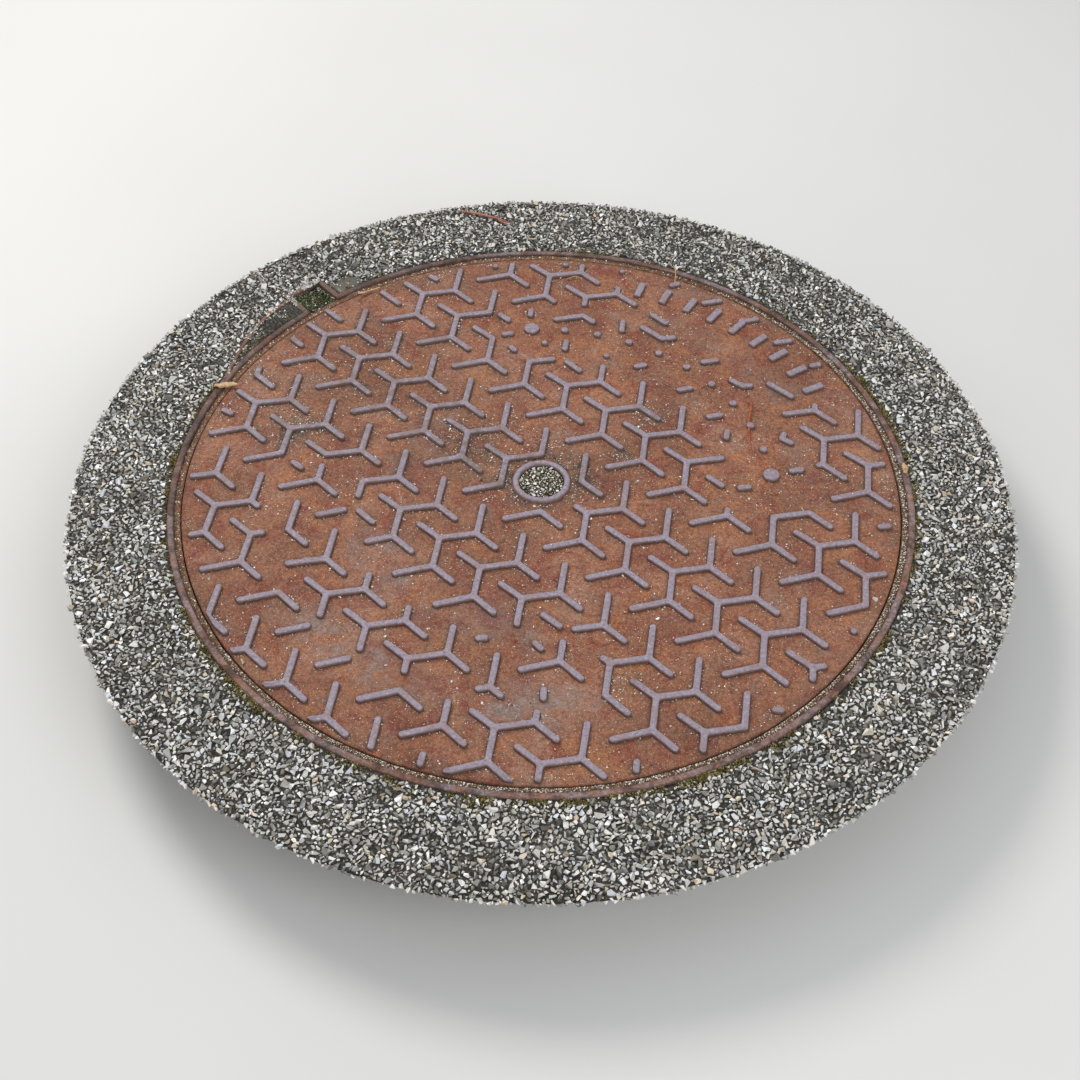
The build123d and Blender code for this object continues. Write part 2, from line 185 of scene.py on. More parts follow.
def strew(protos, at, size, seed, tilt=0.35, base=None, attrs=None):
    """Copies of the stones at points, each with its own turn and size: points, triangles, attributes."""
    rng = np.random.default_rng(seed)
    n = len(at)
    which = rng.integers(0, len(protos), n)
    M = turns(rng.uniform(0, 2 * np.pi, n), rng.normal(0, tilt, n), rng.uniform(0, 2 * np.pi, n))
    if base is not None:
        M = base @ M
    M = M * np.asarray(size)[:, None, None]
    Vs, Fs, start, owner = [], [], 0, []
    for k, (v, f) in enumerate(protos):
        ids = np.nonzero(which == k)[0]
        if not len(ids):
            continue
        w = np.einsum("nij,vj->nvi", M[ids], v) + np.asarray(at)[ids][:, None]
        Vs.append(w.reshape(-1, 3))
        Fs.append((f[None] + (np.arange(len(ids)) * len(v))[:, None, None] + start).reshape(-1, 3))
        owner.append(np.repeat(ids, len(v)))
        start += len(ids) * len(v)
    owner = np.concatenate(owner)
    return np.concatenate(Vs), np.concatenate(Fs), {k: np.asarray(v)[owner] for k, v in (attrs or {}).items()}


def pack_discs(sample, radii, seed, closeness=0.86, tries=6, wrap=None):
    """Drops discs, largest first, where they have room.  sample(rng, n) gives points in the plane."""
    rng = np.random.default_rng(seed)
    cell = 2.0 * max(radii) * closeness
    grid, out = {}, []
    for r in sorted(radii, reverse=True):
        pts = sample(rng, tries)
        for x, y in pts:
            cx, cy = int(x // cell), int(y // cell)
            ok = True
            for a in (cx - 1, cx, cx + 1):
                for b in (cy - 1, cy, cy + 1):
                    for q in grid.get((a, b), ()):
                        gap = (r + q[2]) * closeness
                        if (x - q[0]) ** 2 + (y - q[1]) ** 2 < gap * gap:
                            ok = False
                            break
                    if not ok:
                        break
                if not ok:
                    break
            if ok:
                grid.setdefault((cx, cy), []).append((x, y, r))
                out.append((x, y, r))
                break
    return np.array(out)


# ------------------------------------------------------------------ materials
def lin(c):
    return tuple(((v / 255) / 12.92 if v / 255 <= 0.04045 else ((v / 255 + 0.055) / 1.055) ** 2.4) for v in c) + (1.0,)


class Mat:
    def __init__(self, name, roughness=0.8, metallic=0.0, specular=0.35):
        self.m = bpy.data.materials.new(name)
        self.m.use_nodes = True
        self.t = self.m.node_tree
        self.t.nodes.clear()
        self.out = self.t.nodes.new("ShaderNodeOutputMaterial")
        self.p = self.t.nodes.new("ShaderNodeBsdfPrincipled")
        self.t.links.new(self.p.outputs[0], self.out.inputs[0])
        self.p.inputs["Roughness"].default_value = roughness
        self.p.inputs["Metallic"].default_value = metallic
        self.p.inputs["Specular IOR Level"].default_value = specular
        self.co = self.t.nodes.new("ShaderNodeTexCoord").outputs["Object"]

    def link(self, a, b):
        self.t.links.new(a, b)

    def noise(self, scale, detail=3.0, rough=0.55, distort=0.0, at=None):
        n = self.t.nodes.new("ShaderNodeTexNoise")
        n.inputs["Scale"].default_value = scale
        n.inputs["Detail"].default_value = detail
        n.inputs["Roughness"].default_value = rough
        n.inputs["Distortion"].default_value = distort
        self.link(at or self.co, n.inputs["Vector"])
        return n.outputs["Fac"]

    def cells(self, scale, feature="F1", out="Distance"):
        n = self.t.nodes.new("ShaderNodeTexVoronoi")
        n.feature = feature
        n.inputs["Scale"].default_value = scale
        self.link(self.co, n.inputs["Vector"])
        return n.outputs[out]

    def ramp(self, fac, stops, mode="LINEAR"):
        n = self.t.nodes.new("ShaderNodeValToRGB")
        n.color_ramp.interpolation = mode
        els = n.color_ramp.elements
        while len(els) < len(stops):
            els.new(0.5)
        for e, (pos, col) in zip(els, stops):
            e.position = pos
            e.color = lin(col) if isinstance(col, tuple) else (col, col, col, 1)
        self.link(fac, n.inputs["Fac"])
        return n.outputs["Color"]

    def mix(self, fac, a, b, kind="MIX"):
        n = self.t.nodes.new("ShaderNodeMix")
        n.data_type = "RGBA"
        n.blend_type = kind
        for value, sock in ((fac, n.inputs[0]), (a, n.inputs[6]), (b, n.inputs[7])):
            if isinstance(value, bpy.types.NodeSocket):
                self.link(value, sock)
            elif isinstance(value, tuple):
                sock.default_value = lin(value)
            else:
                sock.default_value = value
        return n.outputs[2]

    def math(self, op, a, b=None, clamp=False):
        n = self.t.nodes.new("ShaderNodeMath")
        n.operation = op
        n.use_clamp = clamp
        for value, sock in ((a, n.inputs[0]), (b, n.inputs[1])):
            if value is None:
                continue
            if isinstance(value, bpy.types.NodeSocket):
                self.link(value, sock)
            else:
                sock.default_value = value
        return n.outputs[0]

    def attr(self, name):
        n = self.t.nodes.new("ShaderNodeAttribute")
        n.attribute_name = name
        return n.outputs["Fac"]

    def height(self):
        n = self.t.nodes.new("ShaderNodeSeparateXYZ")
        self.link(self.co, n.inputs[0])
        return n.outputs["Z"]

    def span(self, fac, lo, hi):
        n = self.t.nodes.new("ShaderNodeMapRange")
        n.inputs["From Min"].default_value = lo
        n.inputs["From Max"].default_value = hi
        self.link(fac, n.inputs["Value"])
        return n.outputs[0]

    def bump(self, h, strength, distance):
        n = self.t.nodes.new("ShaderNodeBump")
        n.inputs["Strength"].default_value = strength
        n.inputs["Distance"].default_value = distance
        self.link(h, n.inputs["Height"])
        return n.outputs["Normal"]

    def finish(self, color, rough=None, normal=None):
        self.link(color, self.p.inputs["Base Color"])
        if rough is not None:
            self.link(rough, self.p.inputs["Roughness"])
        if normal is not None:
            self.link(normal, self.p.inputs["Normal"])
        return self.m


def rust_color(m):
    """Rusty iron: brown with orange and dark red patches and a coarse, speckled grain."""
    broad = m.noise(11, 6, 0.68, 0.8)
    base = m.ramp(broad, [(0.30, (126, 82, 64)), (0.43, (152, 104, 80)), (0.54, (171, 117, 90)), (0.68, (185, 140, 118))])
    orange = m.ramp(m.noise(24, 7, 0.74, 0.6), [(0.48, 0.0), (0.62, 1.0)])
    base = m.mix(m.math("MULTIPLY", orange, 0.62), base, (194, 127, 80))
    red = m.ramp(m.noise(33, 6, 0.72, 0.9), [(0.48, 0.0), (0.64, 1.0)])
    base = m.mix(m.math("MULTIPLY", red, 0.78), base, (142, 68, 54))
    drab = m.ramp(m.noise(47, 6, 0.74, 0.5), [(0.52, 0.0), (0.68, 1.0)])
    base = m.mix(m.math("MULTIPLY", drab, 0.55), base, (142, 120, 106))
    grain = m.ramp(m.noise(280, 6, 0.80), [(0.30, (104, 92, 88)), (0.42, (176, 168, 164)), (0.52, (228, 224, 222)), (0.64, (255, 255, 255))])
    c = m.mix(0.80, base, m.mix(1.0, base, grain, "MULTIPLY"))
    pale = m.ramp(m.noise(340, 5, 0.78), [(0.56, 0.0), (0.74, 1.0)])
    c = m.mix(m.math("MULTIPLY", pale, 0.45), c, (204, 172, 150))
    flecks = m.ramp(m.noise(760, 3, 0.75), [(0.30, (92, 68, 58)), (0.44, (236, 232, 228)), (0.60, (255, 255, 255))])
    return m.mix(0.6, c, m.mix(1.0, c, flecks, "MULTIPLY"))


def plate_material():
    m = Mat("rusty_plate", 0.78, 0.0, 0.32)
    base = rust_color(m)
    grey = m.ramp(m.noise(300, 5, 0.74), [(0.32, (96, 80, 74)), (0.5, (136, 119, 112)), (0.68, (162, 147, 141))])
    worn = m.math("MULTIPLY", m.attr("worn"), m.ramp(m.noise(40, 6, 0.72, 0.5), [(0.40, 0.0), (0.62, 0.9)]))
    c = m.mix(worn, base, grey)
    soil = m.ramp(m.noise(520, 3, 0.7), [(0.32, (36, 32, 26)), (0.52, (70, 62, 50)), (0.72, (120, 110, 94))])
    patchy = m.ramp(m.noise(85, 5, 0.7, 0.5), [(0.36, 0.0), (0.60, 1.0)])
    dirt = m.math("MULTIPLY", m.attr("dirt"), patchy, True)
    c = m.mix(dirt, c, soil)
    # painted shade: darker band on the plate at the feet of the lands and round the centre ring
    painted_foot_shade = m.math("MULTIPLY", m.attr("painted_foot_shade"), m.ramp(m.noise(150, 5, 0.75), [(0.38, 0.05), (0.62, 0.5)]))
    c = m.mix(painted_foot_shade, c, (78, 54, 44))
    pits = m.ramp(m.cells(230), [(0.06, (88, 58, 48)), (0.20, (255, 255, 255))])
    c = m.mix(0.3, c, m.mix(1.0, c, pits, "MULTIPLY"))
    spark = m.ramp(m.noise(820, 2, 0.6), [(0.63, 0.0), (0.70, 1.0)])
    c = m.mix(m.math("MULTIPLY", spark, 0.6), c, (224, 206, 192))
    h = m.math("ADD", m.math("MULTIPLY", m.noise(150, 6, 0.72), 1.0), m.math("MULTIPLY", m.noise(620, 3, 0.7), 0.5))
    rough = m.ramp(m.noise(90, 3), [(0.3, 0.62), (0.7, 0.9)])
    return m.finish(c, rough, m.bump(h, 0.8, 0.0006))


def land_material():
    m = Mat("land_iron", 0.6, 0.0, 0.45)
    top = m.ramp(m.noise(360, 5, 0.74), [(0.30, (108, 94, 100)), (0.45, (144, 131, 142)), (0.58, (158, 147, 160)), (0.76, (198, 190, 200))])
    rusty = m.ramp(m.noise(44, 6, 0.74, 0.5), [(0.50, 0.0), (0.66, 1.0)])
    top = m.mix(m.math("MULTIPLY", rusty, 0.5), top, (146, 108, 94))
    side = m.ramp(m.noise(260, 4, 0.7), [(0.34, (104, 78, 72)), (0.62, (146, 114, 102))])
    up = m.ramp(m.attr("crest"), [(0.40, 0.0), (0.80, 1.0)])
    c = m.mix(up, side, top)
    # painted shade: dark band low on the sides of the lands and the centre ring, where they meet the plate
    low = m.ramp(m.attr("crest"), [(0.03, 1.0), (0.15, 0.9), (0.32, 0.0)])
    c = m.mix(m.math("MULTIPLY", low, 0.8), c, (52, 36, 32))
    dirt = m.math("MULTIPLY", m.attr("dirt"), m.ramp(m.noise(120, 4, 0.7), [(0.40, 0.0), (0.62, 0.8)]), True)
    c = m.mix(dirt, c, (108, 91, 80))
    h = m.math("ADD", m.noise(260, 5, 0.72), m.math("MULTIPLY", m.noise(900, 2, 0.7), 0.5))
    rough = m.ramp(m.noise(130, 3), [(0.3, 0.48), (0.7, 0.78)])
    return m.finish(c, rough, m.bump(h, 0.75, 0.0004))


def rim_material():
    m = Mat("rim_iron", 0.66, 0.0, 0.4)
    c = rust_color(m)
    grey = m.ramp(m.noise(320, 5, 0.76), [(0.30, (80, 66, 64)), (0.46, (134, 118, 119)), (0.58, (160, 146, 149)), (0.74, (196, 185, 187))])
    where = m.ramp(m.noise(19, 6, 0.72, 0.7), [(0.38, 1.0), (0.60, 0.1)])
    c = m.mix(where, c, grey)
    deep = m.ramp(m.noise(46, 7, 0.76, 0.8), [(0.45, 0.0), (0.58, 1.0)])
    c = m.mix(m.math("MULTIPLY", deep, 0.78), c, (56, 42, 36))
    # darker brown: dirt over some sectors of the rim, plus painted shade along the rim face's inner and outer edges
    dirt_and_edge_shade = m.math("MULTIPLY", m.attr("dirt_and_edge_shade"), m.ramp(m.noise(70, 6, 0.74, 0.5), [(0.36, 0.35), (0.56, 1.0)]), True)
    c = m.mix(m.math("MULTIPLY", dirt_and_edge_shade, 0.72), c, (64, 46, 37))
    h = m.math("ADD", m.noise(170, 6, 0.72), m.math("MULTIPLY", m.noise(640, 3, 0.7), 0.5))
    return m.finish(c, m.ramp(m.noise(100, 3), [(0.3, 0.50), (0.7, 0.85)]), m.bump(h, 0.9, 0.0006))


def casting_material(name, stops, damp=(58, 44, 38)):
    """Iron that feet and tyres don't reach: dull scale with rusty spots and darker damp runs."""
    m = Mat(name, 0.72, 0.0, 0.38)
    c = m.ramp(m.noise(20, 6, 0.66, 0.5), stops)
    fine = m.ramp(m.noise(380, 4, 0.7), [(0.3, (70, 50, 44)), (0.5, (124, 96, 84)), (0.72, (160, 130, 112))])
    c = m.mix(0.35, c, fine)
    spots = m.ramp(m.noise(62, 6, 0.72, 0.6), [(0.54, 0.0), (0.68, 1.0)])
    c = m.mix(m.math("MULTIPLY", spots, 0.7), c, (146, 84, 48))
    runs = m.ramp(m.noise(30, 4, 0.7, 1.2), [(0.50, 0.0), (0.74, 1.0)])
    c = m.mix(m.math("MULTIPLY", runs, 0.55), c, damp)
    h = m.math("ADD", m.noise(120, 6, 0.7), m.math("MULTIPLY", m.noise(560, 3, 0.7), 0.6))
    return m.finish(c, m.ramp(m.noise(80, 3), [(0.3, 0.6), (0.7, 0.88)]), m.bump(h, 0.8, 0.0008))


def stone_material(name, stops, mottle=0.3, shine=0.34, spread=0.6):
    """Broken stone: each face has its own painted light and shade, some faces carry a painted glint, and some faces are
    smooth enough to glint.
    """
    m = Mat(name, 0.82, 0.0, 1.0)
    c = m.ramp(m.attr("tone"), stops)
    warm = m.ramp(m.attr("warm"), [(0.0, (226, 232, 242)), (0.4, (255, 255, 255)), (0.88, (255, 251, 243)), (0.96, (255, 238, 212)), (1.0, (230, 200, 172))])
    c = m.mix(1.0, c, warm, "MULTIPLY")
    # painted light and shade: each face made lighter or darker at random
    face = m.ramp(m.attr("facet"), [(0.0, (126, 124, 120)), (0.30, (205, 204, 201)), (0.55, (255, 255, 255))])
    c = m.mix(spread, c, m.mix(1.0, c, face, "MULTIPLY"))
    # painted glint: some faces mixed towards near-white
    painted_glint = m.ramp(m.attr("facet"), [(0.74, 0.0), (0.96, 1.0)])
    c = m.mix(m.math("MULTIPLY", painted_glint, spread), c, (252, 251, 247))
    grain = m.ramp(m.noise(560, 5, 0.78), [(0.30, (96, 94, 90)), (0.50, (236, 235, 232)), (0.66, (255, 255, 255))])
    c = m.mix(mottle, c, m.mix(1.0, c, grain, "MULTIPLY"))
    h = m.noise(480, 4, 0.7)
    return m.finish(c, m.ramp(m.attr("facet"), [(0.30, 0.85), (0.55, shine + 0.14), (1.0, shine)]), m.bump(h, 0.35, 0.0003))


def binder_material():
    m = Mat("bitumen_sand", 0.9, 0.0, 0.3)
    c = m.ramp(m.noise(360, 5, 0.78), [(0.32, (30, 28, 25)), (0.48, (62, 59, 54)), (0.60, (104, 100, 93)), (0.74, (186, 182, 174))])
    broad = m.ramp(m.noise(25, 4, 0.6), [(0.35, (150, 148, 140)), (0.65, (255, 255, 255))])
    c = m.mix(0.6, c, m.mix(1.0, c, broad, "MULTIPLY"))
    h = m.math("ADD", m.noise(420, 5, 0.75), m.math("MULTIPLY", m.cells(330), 0.8))
    return m.finish(c, None, m.bump(h, 1.0, 0.0012))


def concrete_material(name, light, dark, pits=True):
    m = Mat(name, 0.9, 0.0, 0.25)
    c = m.ramp(m.noise(11, 6, 0.62, 0.3), [(0.34, dark), (0.66, light)])
    sand = m.ramp(m.noise(520, 5, 0.78), [(0.3, (96, 92, 86)), (0.5, (190, 187, 180)), (0.72, (255, 254, 250))])
    c = m.mix(0.55, c, m.mix(1.0, c, sand, "MULTIPLY"))
    stain = m.ramp(m.noise(36, 5, 0.7, 0.8), [(0.54, 0.0), (0.76, 1.0)])
    c = m.mix(m.math("MULTIPLY", stain, 0.45), c, (104, 92, 78))
    holes = m.ramp(m.cells(95), [(0.05, 0.0), (0.16, 1.0)])
    c = m.mix(0.3, c, m.mix(1.0, c, holes, "MULTIPLY"))
    h = m.math("ADD", m.noise(210, 6, 0.75), m.math("MULTIPLY", holes, 0.5 if pits else 0.1))
    return m.finish(c, None, m.bump(h, 0.9, 0.0012))


def soil_material(name, stops, speckle=0.75, rusty=False):
    m = Mat(name, 0.95, 0.0, 0.15)
    c = m.ramp(m.noise(190, 6, 0.78, 0.4), stops)
    if rusty:
        earth = m.ramp(m.noise(260, 5, 0.76), [(0.32, (84, 56, 44)), (0.50, (134, 96, 74)), (0.68, (160, 122, 98))])
        c = m.mix(m.math("MULTIPLY", m.attr("earth"), m.ramp(m.noise(60, 4, 0.7), [(0.32, 0.25), (0.52, 1.0)])), c, earth)
    speck = m.ramp(m.noise(760, 3, 0.7), [(0.60, 0.0), (0.70, 1.0)])
    c = m.mix(m.math("MULTIPLY", speck, speckle), c, (206, 198, 180))
    h = m.math("ADD", m.noise(300, 6, 0.75), m.math("MULTIPLY", m.cells(420), 0.5))
    return m.finish(c, None, m.bump(h, 1.0, 0.0015))


def moss_material(name, stops):
    m = Mat(name, 0.95, 0.0, 0.12)
    c = m.ramp(m.attr("tone"), stops)
    n = m.ramp(m.noise(900, 3, 0.7), [(0.3, (110, 110, 96)), (0.6, (255, 255, 255))])
    c = m.mix(0.6, c, m.mix(1.0, c, n, "MULTIPLY"))
    return m.finish(c, None, m.bump(m.noise(1100, 3, 0.7), 0.8, 0.0008))


def wood_material(name, light, dark, grain=(1, 1, 1)):
    m = Mat(name, 0.75, 0.0, 0.3)
    n = m.t.nodes.new("ShaderNodeMapping")
    n.inputs["Scale"].default_value = grain
    m.link(m.co, n.inputs["Vector"])
    g = m.noise(420, 4, 0.7, 0.3, at=n.outputs[0])
    c = m.ramp(g, [(0.32, dark), (0.6, light)])
    return m.finish(c, None, m.bump(g, 0.6, 0.0006))


def rubber_material():
    m = Mat("seat_rubber_black", 0.62, 0.0, 0.4)
    c = m.ramp(m.noise(34, 5, 0.7, 0.3), [(0.36, (34, 33, 32)), (0.62, (52, 50, 47))])
    grit = m.ramp(m.noise(300, 5, 0.8), [(0.56, 0.0), (0.72, 1.0)])
    c = m.mix(m.math("MULTIPLY", grit, 0.7), c, (126, 112, 98))
    return m.finish(c, m.ramp(m.noise(60, 3), [(0.3, 0.5), (0.7, 0.85)]), m.bump(m.noise(360, 5, 0.7), 0.5, 0.0004))


def steel_material(name, base, rust):
    m = Mat(name, 0.5, 0.75, 0.5)
    c = m.ramp(m.noise(70, 5, 0.7, 0.4), [(0.38, base), (0.6, tuple(int(v * 0.8) for v in base))])
    spots = m.ramp(m.noise(110, 6, 0.75, 0.5), [(0.46, 0.0), (0.60, 1.0)])
    c = m.mix(m.math("MULTIPLY", spots, 0.85), c, rust)
    return m.finish(c, m.ramp(m.noise(140, 4), [(0.35, 0.42), (0.65, 0.85)]), m.bump(m.noise(320, 5, 0.72), 0.6, 0.0004))


def floor_material():
    m = Mat("pale_floor", 0.6, 0.0, 0.3)
    c = m.ramp(m.noise(1.2, 3, 0.5), [(0.3, (217, 216, 213)), (0.7, (225, 224, 221))])
    return m.finish(c)


M_PLATE, M_LAND, M_RIM = plate_material(), land_material(), rim_material()
M_UNDER = casting_material("underside_iron", [(0.3, (70, 54, 48)), (0.5, (104, 80, 68)), (0.7, (132, 106, 92))])
M_WING = casting_material("wing_iron", [(0.3, (96, 62, 50)), (0.5, (130, 86, 68)), (0.7, (152, 112, 94))])
M_POCKET = casting_material("pocket_iron", [(0.3, (70, 58, 50)), (0.5, (104, 88, 78)), (0.7, (132, 116, 106))], (44, 38, 30))
M_FRAME = casting_material("frame_iron_dull", [(0.3, (74, 58, 50)), (0.5, (108, 86, 74)), (0.7, (128, 104, 92))])
ASPHALT_STOPS = [(0.0, (84, 82, 77)), (0.10, (126, 123, 116)), (0.28, (172, 169, 162)), (0.46, (208, 206, 199)), (0.64, (236, 234, 228)), (0.80, (252, 251, 247)), (1.0, (255, 255, 254))]
M_STONE = stone_material("road_stone", ASPHALT_STOPS, 0.34, 0.22, 0.58)
GRIT_STOPS = [(0.0, (72, 62, 50)), (0.16, (134, 120, 102)), (0.34, (196, 184, 164)), (0.54, (240, 232, 216)), (0.75, (255, 252, 242)), (1.0, (255, 255, 252))]
M_GRIT = stone_material("light_grit", GRIT_STOPS, 0.2, 0.26, 0.5)
M_BINDER = binder_material()
M_CONCRETE = concrete_material("haunch_concrete", (172, 168, 160), (136, 132, 124))
M_MORTAR = concrete_material("bed_mortar", (188, 182, 170), (150, 144, 132))
M_SMEAR = concrete_material("smear_mortar", (150, 147, 138), (78, 75, 68), True)
M_SOIL = soil_material("dark_soil", [(0.3, (26, 24, 18)), (0.48, (52, 49, 36)), (0.60, (84, 82, 54)), (0.8, (128, 122, 98))])
M_DUST = soil_material("gap_dirt", [(0.3, (38, 28, 20)), (0.5, (86, 64, 44)), (0.66, (124, 100, 74)), (0.82, (168, 148, 120))], 0.75, True)
M_MOSS = moss_material("moss_olive", [(0.0, (62, 56, 34)), (0.35, (110, 99, 58)), (0.7, (152, 138, 88)), (1.0, (198, 184, 134))])
M_MOSS_DAMP = moss_material("moss_damp_green", [(0.0, (40, 46, 28)), (0.35, (74, 84, 52)), (0.7, (112, 122, 82)), (1.0, (158, 164, 124))])

# ------------------------------------------------------------------ tread table
LAT_O, LAT_1, LAT_2 = (-89.4, -70.4), (36.77, -34.05), (56.62, 99.29)
HUB_A, HUB_B, HUB_C = (0.0, 0.0), (32.42, 5.56), (-4.45, -32.59)
ARMS = {
    "AU": (HUB_A, (-18.20, 15.84)),
    "AB": (HUB_A, HUB_B),
    "AC": (HUB_A, HUB_C),
    "BU": (HUB_B, (37.07, 38.08)),
    "BL": (HUB_B, (49.20, -10.78)),
    "CL": (HUB_C, (-36.40, -41.45)),
    "CR": (HUB_C, (12.81, -49.88)),
}
WHOLE = "AU AB AC BU BL CL CR"
# figures with every arm
WHOLE_FIGURES = [
    (-4, 2), (1, 2), (2, 2), (6, 2), (-5, 1), (-4, 1), (-3, 1), (-2, 1), (-1, 1),
    (3, 1), (4, 1), (5, 1), (6, 1), (0, 0), (1, 0), (5, 0), (-5, 0),
]
# figures cut short by the rim, the middle ring and the smooth fields; a range
# such as 0.3-1 keeps that stretch of the arm, counted from its hub
CUT_FIGURES = {
    (-3, 2): "AU AB AC BU CL CR",
    (-2, 2): "AU AC CL CR",
    (-1, 2): "AB:0-0.7 AC CL CR",
    (0, 2): "AU AB AC BU:0-0.68 BL CL CR",
    (3, 2): "AU AB AC CL CR",
    (4, 2): "AC:0.8-1 CL CR",
    (5, 2): "AB BL AC CL CR",
    (7, 2): "AU AB:0-0.5 AC CL",
    (-5, 2): "CR",
    (5, 3): "AU AB AC BU BL CR CL:0-0.12",
    (6, 3): "AU AB:0-0.42 AC CL CR",
    (4, 3): "AB:0.12-1 BU:0-0.2 BL",
    (-1, 3): "AU AB AC:0-0.35 BU:0-0.25 BL",
    (-2, 3): "AU AB AC BU:0-0.32 BL CL CR:0-0.5",
    (-3, 3): "AC:0.5-1 CL CR",
    (-6, 1): "BL:0.15-1",
    (-6, 0): "BU:0-0.3 BL",
    (-4, 0): "AU AB AC BU BL CL",
    (-3, 0): "AU AB AC:0.47-1 BU BL CL CR",
    (-2, 0): "AB BU BL AC:0-0.55 CL:0.3-1 CR:0.25-1",
    (-1, 0): "AU AB AC BU BL CL:0-0.7 CR",
    (2, 0): "AU AB BU BL AC:0-0.85",
    (3, 0): "AU:0.25-1 AB:0.25-1 BU BL AC:0.4-1 CL CR",
    (4, 0): "AU:0-0.3 AB BU BL AC CR",
    (6, 0): "AU AB BU AC:0-0.5",
    (0, 1): "AU AB AC BU CL",
    (1, 1): "BU BL CL CR",
    (2, 1): "AU:0-0.5 AB BU BL AC CL CR",
    (7, 1): "AU AB:0-0.28 AC:0-0.35",
    (-5, -1): "AB:0.35-1 BU BL",
    (-4, -1): "AU AB AC BU BL:0-0.35 CL:0-0.35 CR",
    (-3, -1): "AU AB:0-0.3 AC BU BL CL CR",
    (-2, -1): "AB BU BL CL CR",
    (-1, -1): "AU AB BU:0-0.5 BL AC:0-0.7 CL:0.25-1",
    (0, -1): "AU AB BU:0-0.42 BL AC:0-0.75 CL:0.25-1",
    (1, -1): "AU AB BU:0-0.85 BL AC:0-0.4 CL CR",
    (2, -1): "AB:0.7-1 BU BL:0-0.5 AC:0.3-1 CL CR",
    (3, -1): "AU AB BU:0-0.28 BL AC CL CR",
    (4, -1): "AU AB BU BL AC:0-0.42",
    (-3, -2): "BU BL",
    (-2, -2): "AB:0.68-1 BU BL",
    (-1, -2): "AB:0.5-1 BU BL",
    (0, -2): "AB:0.6-1 BU BL",
    (1, -2): "BU:0.2-1",
}
# short lands left standing alone, each a chain of points
LONE_LANDS = [
    [(-43.0, 232.4), (-34.9, 224.4)],
    [(-38.4, 202.6), (-31.5, 204.1)],
    [(-12.0, 239.3), (-12.6, 232.4)],
    [(-30.9, 182.6), (-28.1, 179.1)],
    [(23.5, 192.3), (22.1, 181.4)],
    [(24.1, 162.2), (36.1, 149.9)],
    [(92.2, 156.8), (100.0, 159.4)],
    [(80.8, 223.8), (79.3, 210.1)],
    [(111.4, 233.8), (123.5, 222.1)],
    [(100.5, 214.7), (118.9, 198.3), (130.3, 199.8)],
    [(13.5, 226.1), (40.7, 232.4), (50.1, 223.0)],
    [(132.3, 123.9), (143.2, 126.7)],
    [(158.1, 164.2), (171.3, 167.1)],
    [(183.9, 137.9), (193.9, 129.9), (201.1, 130.7)],
    [(220.0, 133.3), (239.5, 116.1)],
    [(158.1, 86.9), (169.0, 89.2)],
    [(173.0, 58.8), (174.4, 66.8)],
    [(153.0, 7.0), (164.1, -3.3)],
    [(180.8, -5.9), (188.5, -4.8)],
    [(132.9, 281.7), (139.2, 284.0)],
    [(164.4, 253.6), (180.8, 257.6)],
    [(200.2, 225.5), (215.7, 229.0)],
    [(232.3, 193.7), (246.1, 196.6)],
    [(264.1, 159.9), (271.0, 161.7)],
    [(-116.6, 292.0), (-110.6, 287.7)],
    [(-248.1, 192.3), (-239.2, 183.4)],
    [(-302.2, 89.5), (-295.3, 85.2)],
    [(-228.3, 21.0), (-221.1, 14.7)],
    [(-51.6, -182.1), (-45.8, -181.5)],
    [(-4.0, -186.9), (0.6, -192.1)],
    [(3.4, -234.5), (2.9, -242.5)],
    [(189.6, -252.0), (194.5, -252.3)],
    [(301.9, -52.6), (309.1, -51.5)],
    [(-91.1, -298.1), (-92.8, -306.4)],
    [(76.5, -303.2), (75.6, -310.7)],
    [(230.3, 16.1), (238.6, 17.6)],
    [(227.7, 64.3), (225.1, 58.3), (232.6, 52.8)],
]
LONE_STUDS = [(2.0, 189.9), (63.0, 172.1), (-50.0, 310.3), (23.5, 313.8), (82.5, 303.2), (263.0, -170.9)]
# plain studs and plain radial pads in the two smooth fields
FIELD_STUD_R = 3.6
FIELD_STUDS = [ray(211.0, a) for a in (12, 21, 30, 39, 48, 57, 66, 75, 84)]
FIELD_DISC_R = 7.5
FIELD_DISCS = [ray(211.0, 3.0), ray(212.0, 93.0)]
PAD_L, PAD_W, PAD_R = 22.0, 7.0, 291.5
PAD_DEGS = [26.0 + 5.5 * k for k in range(9)]


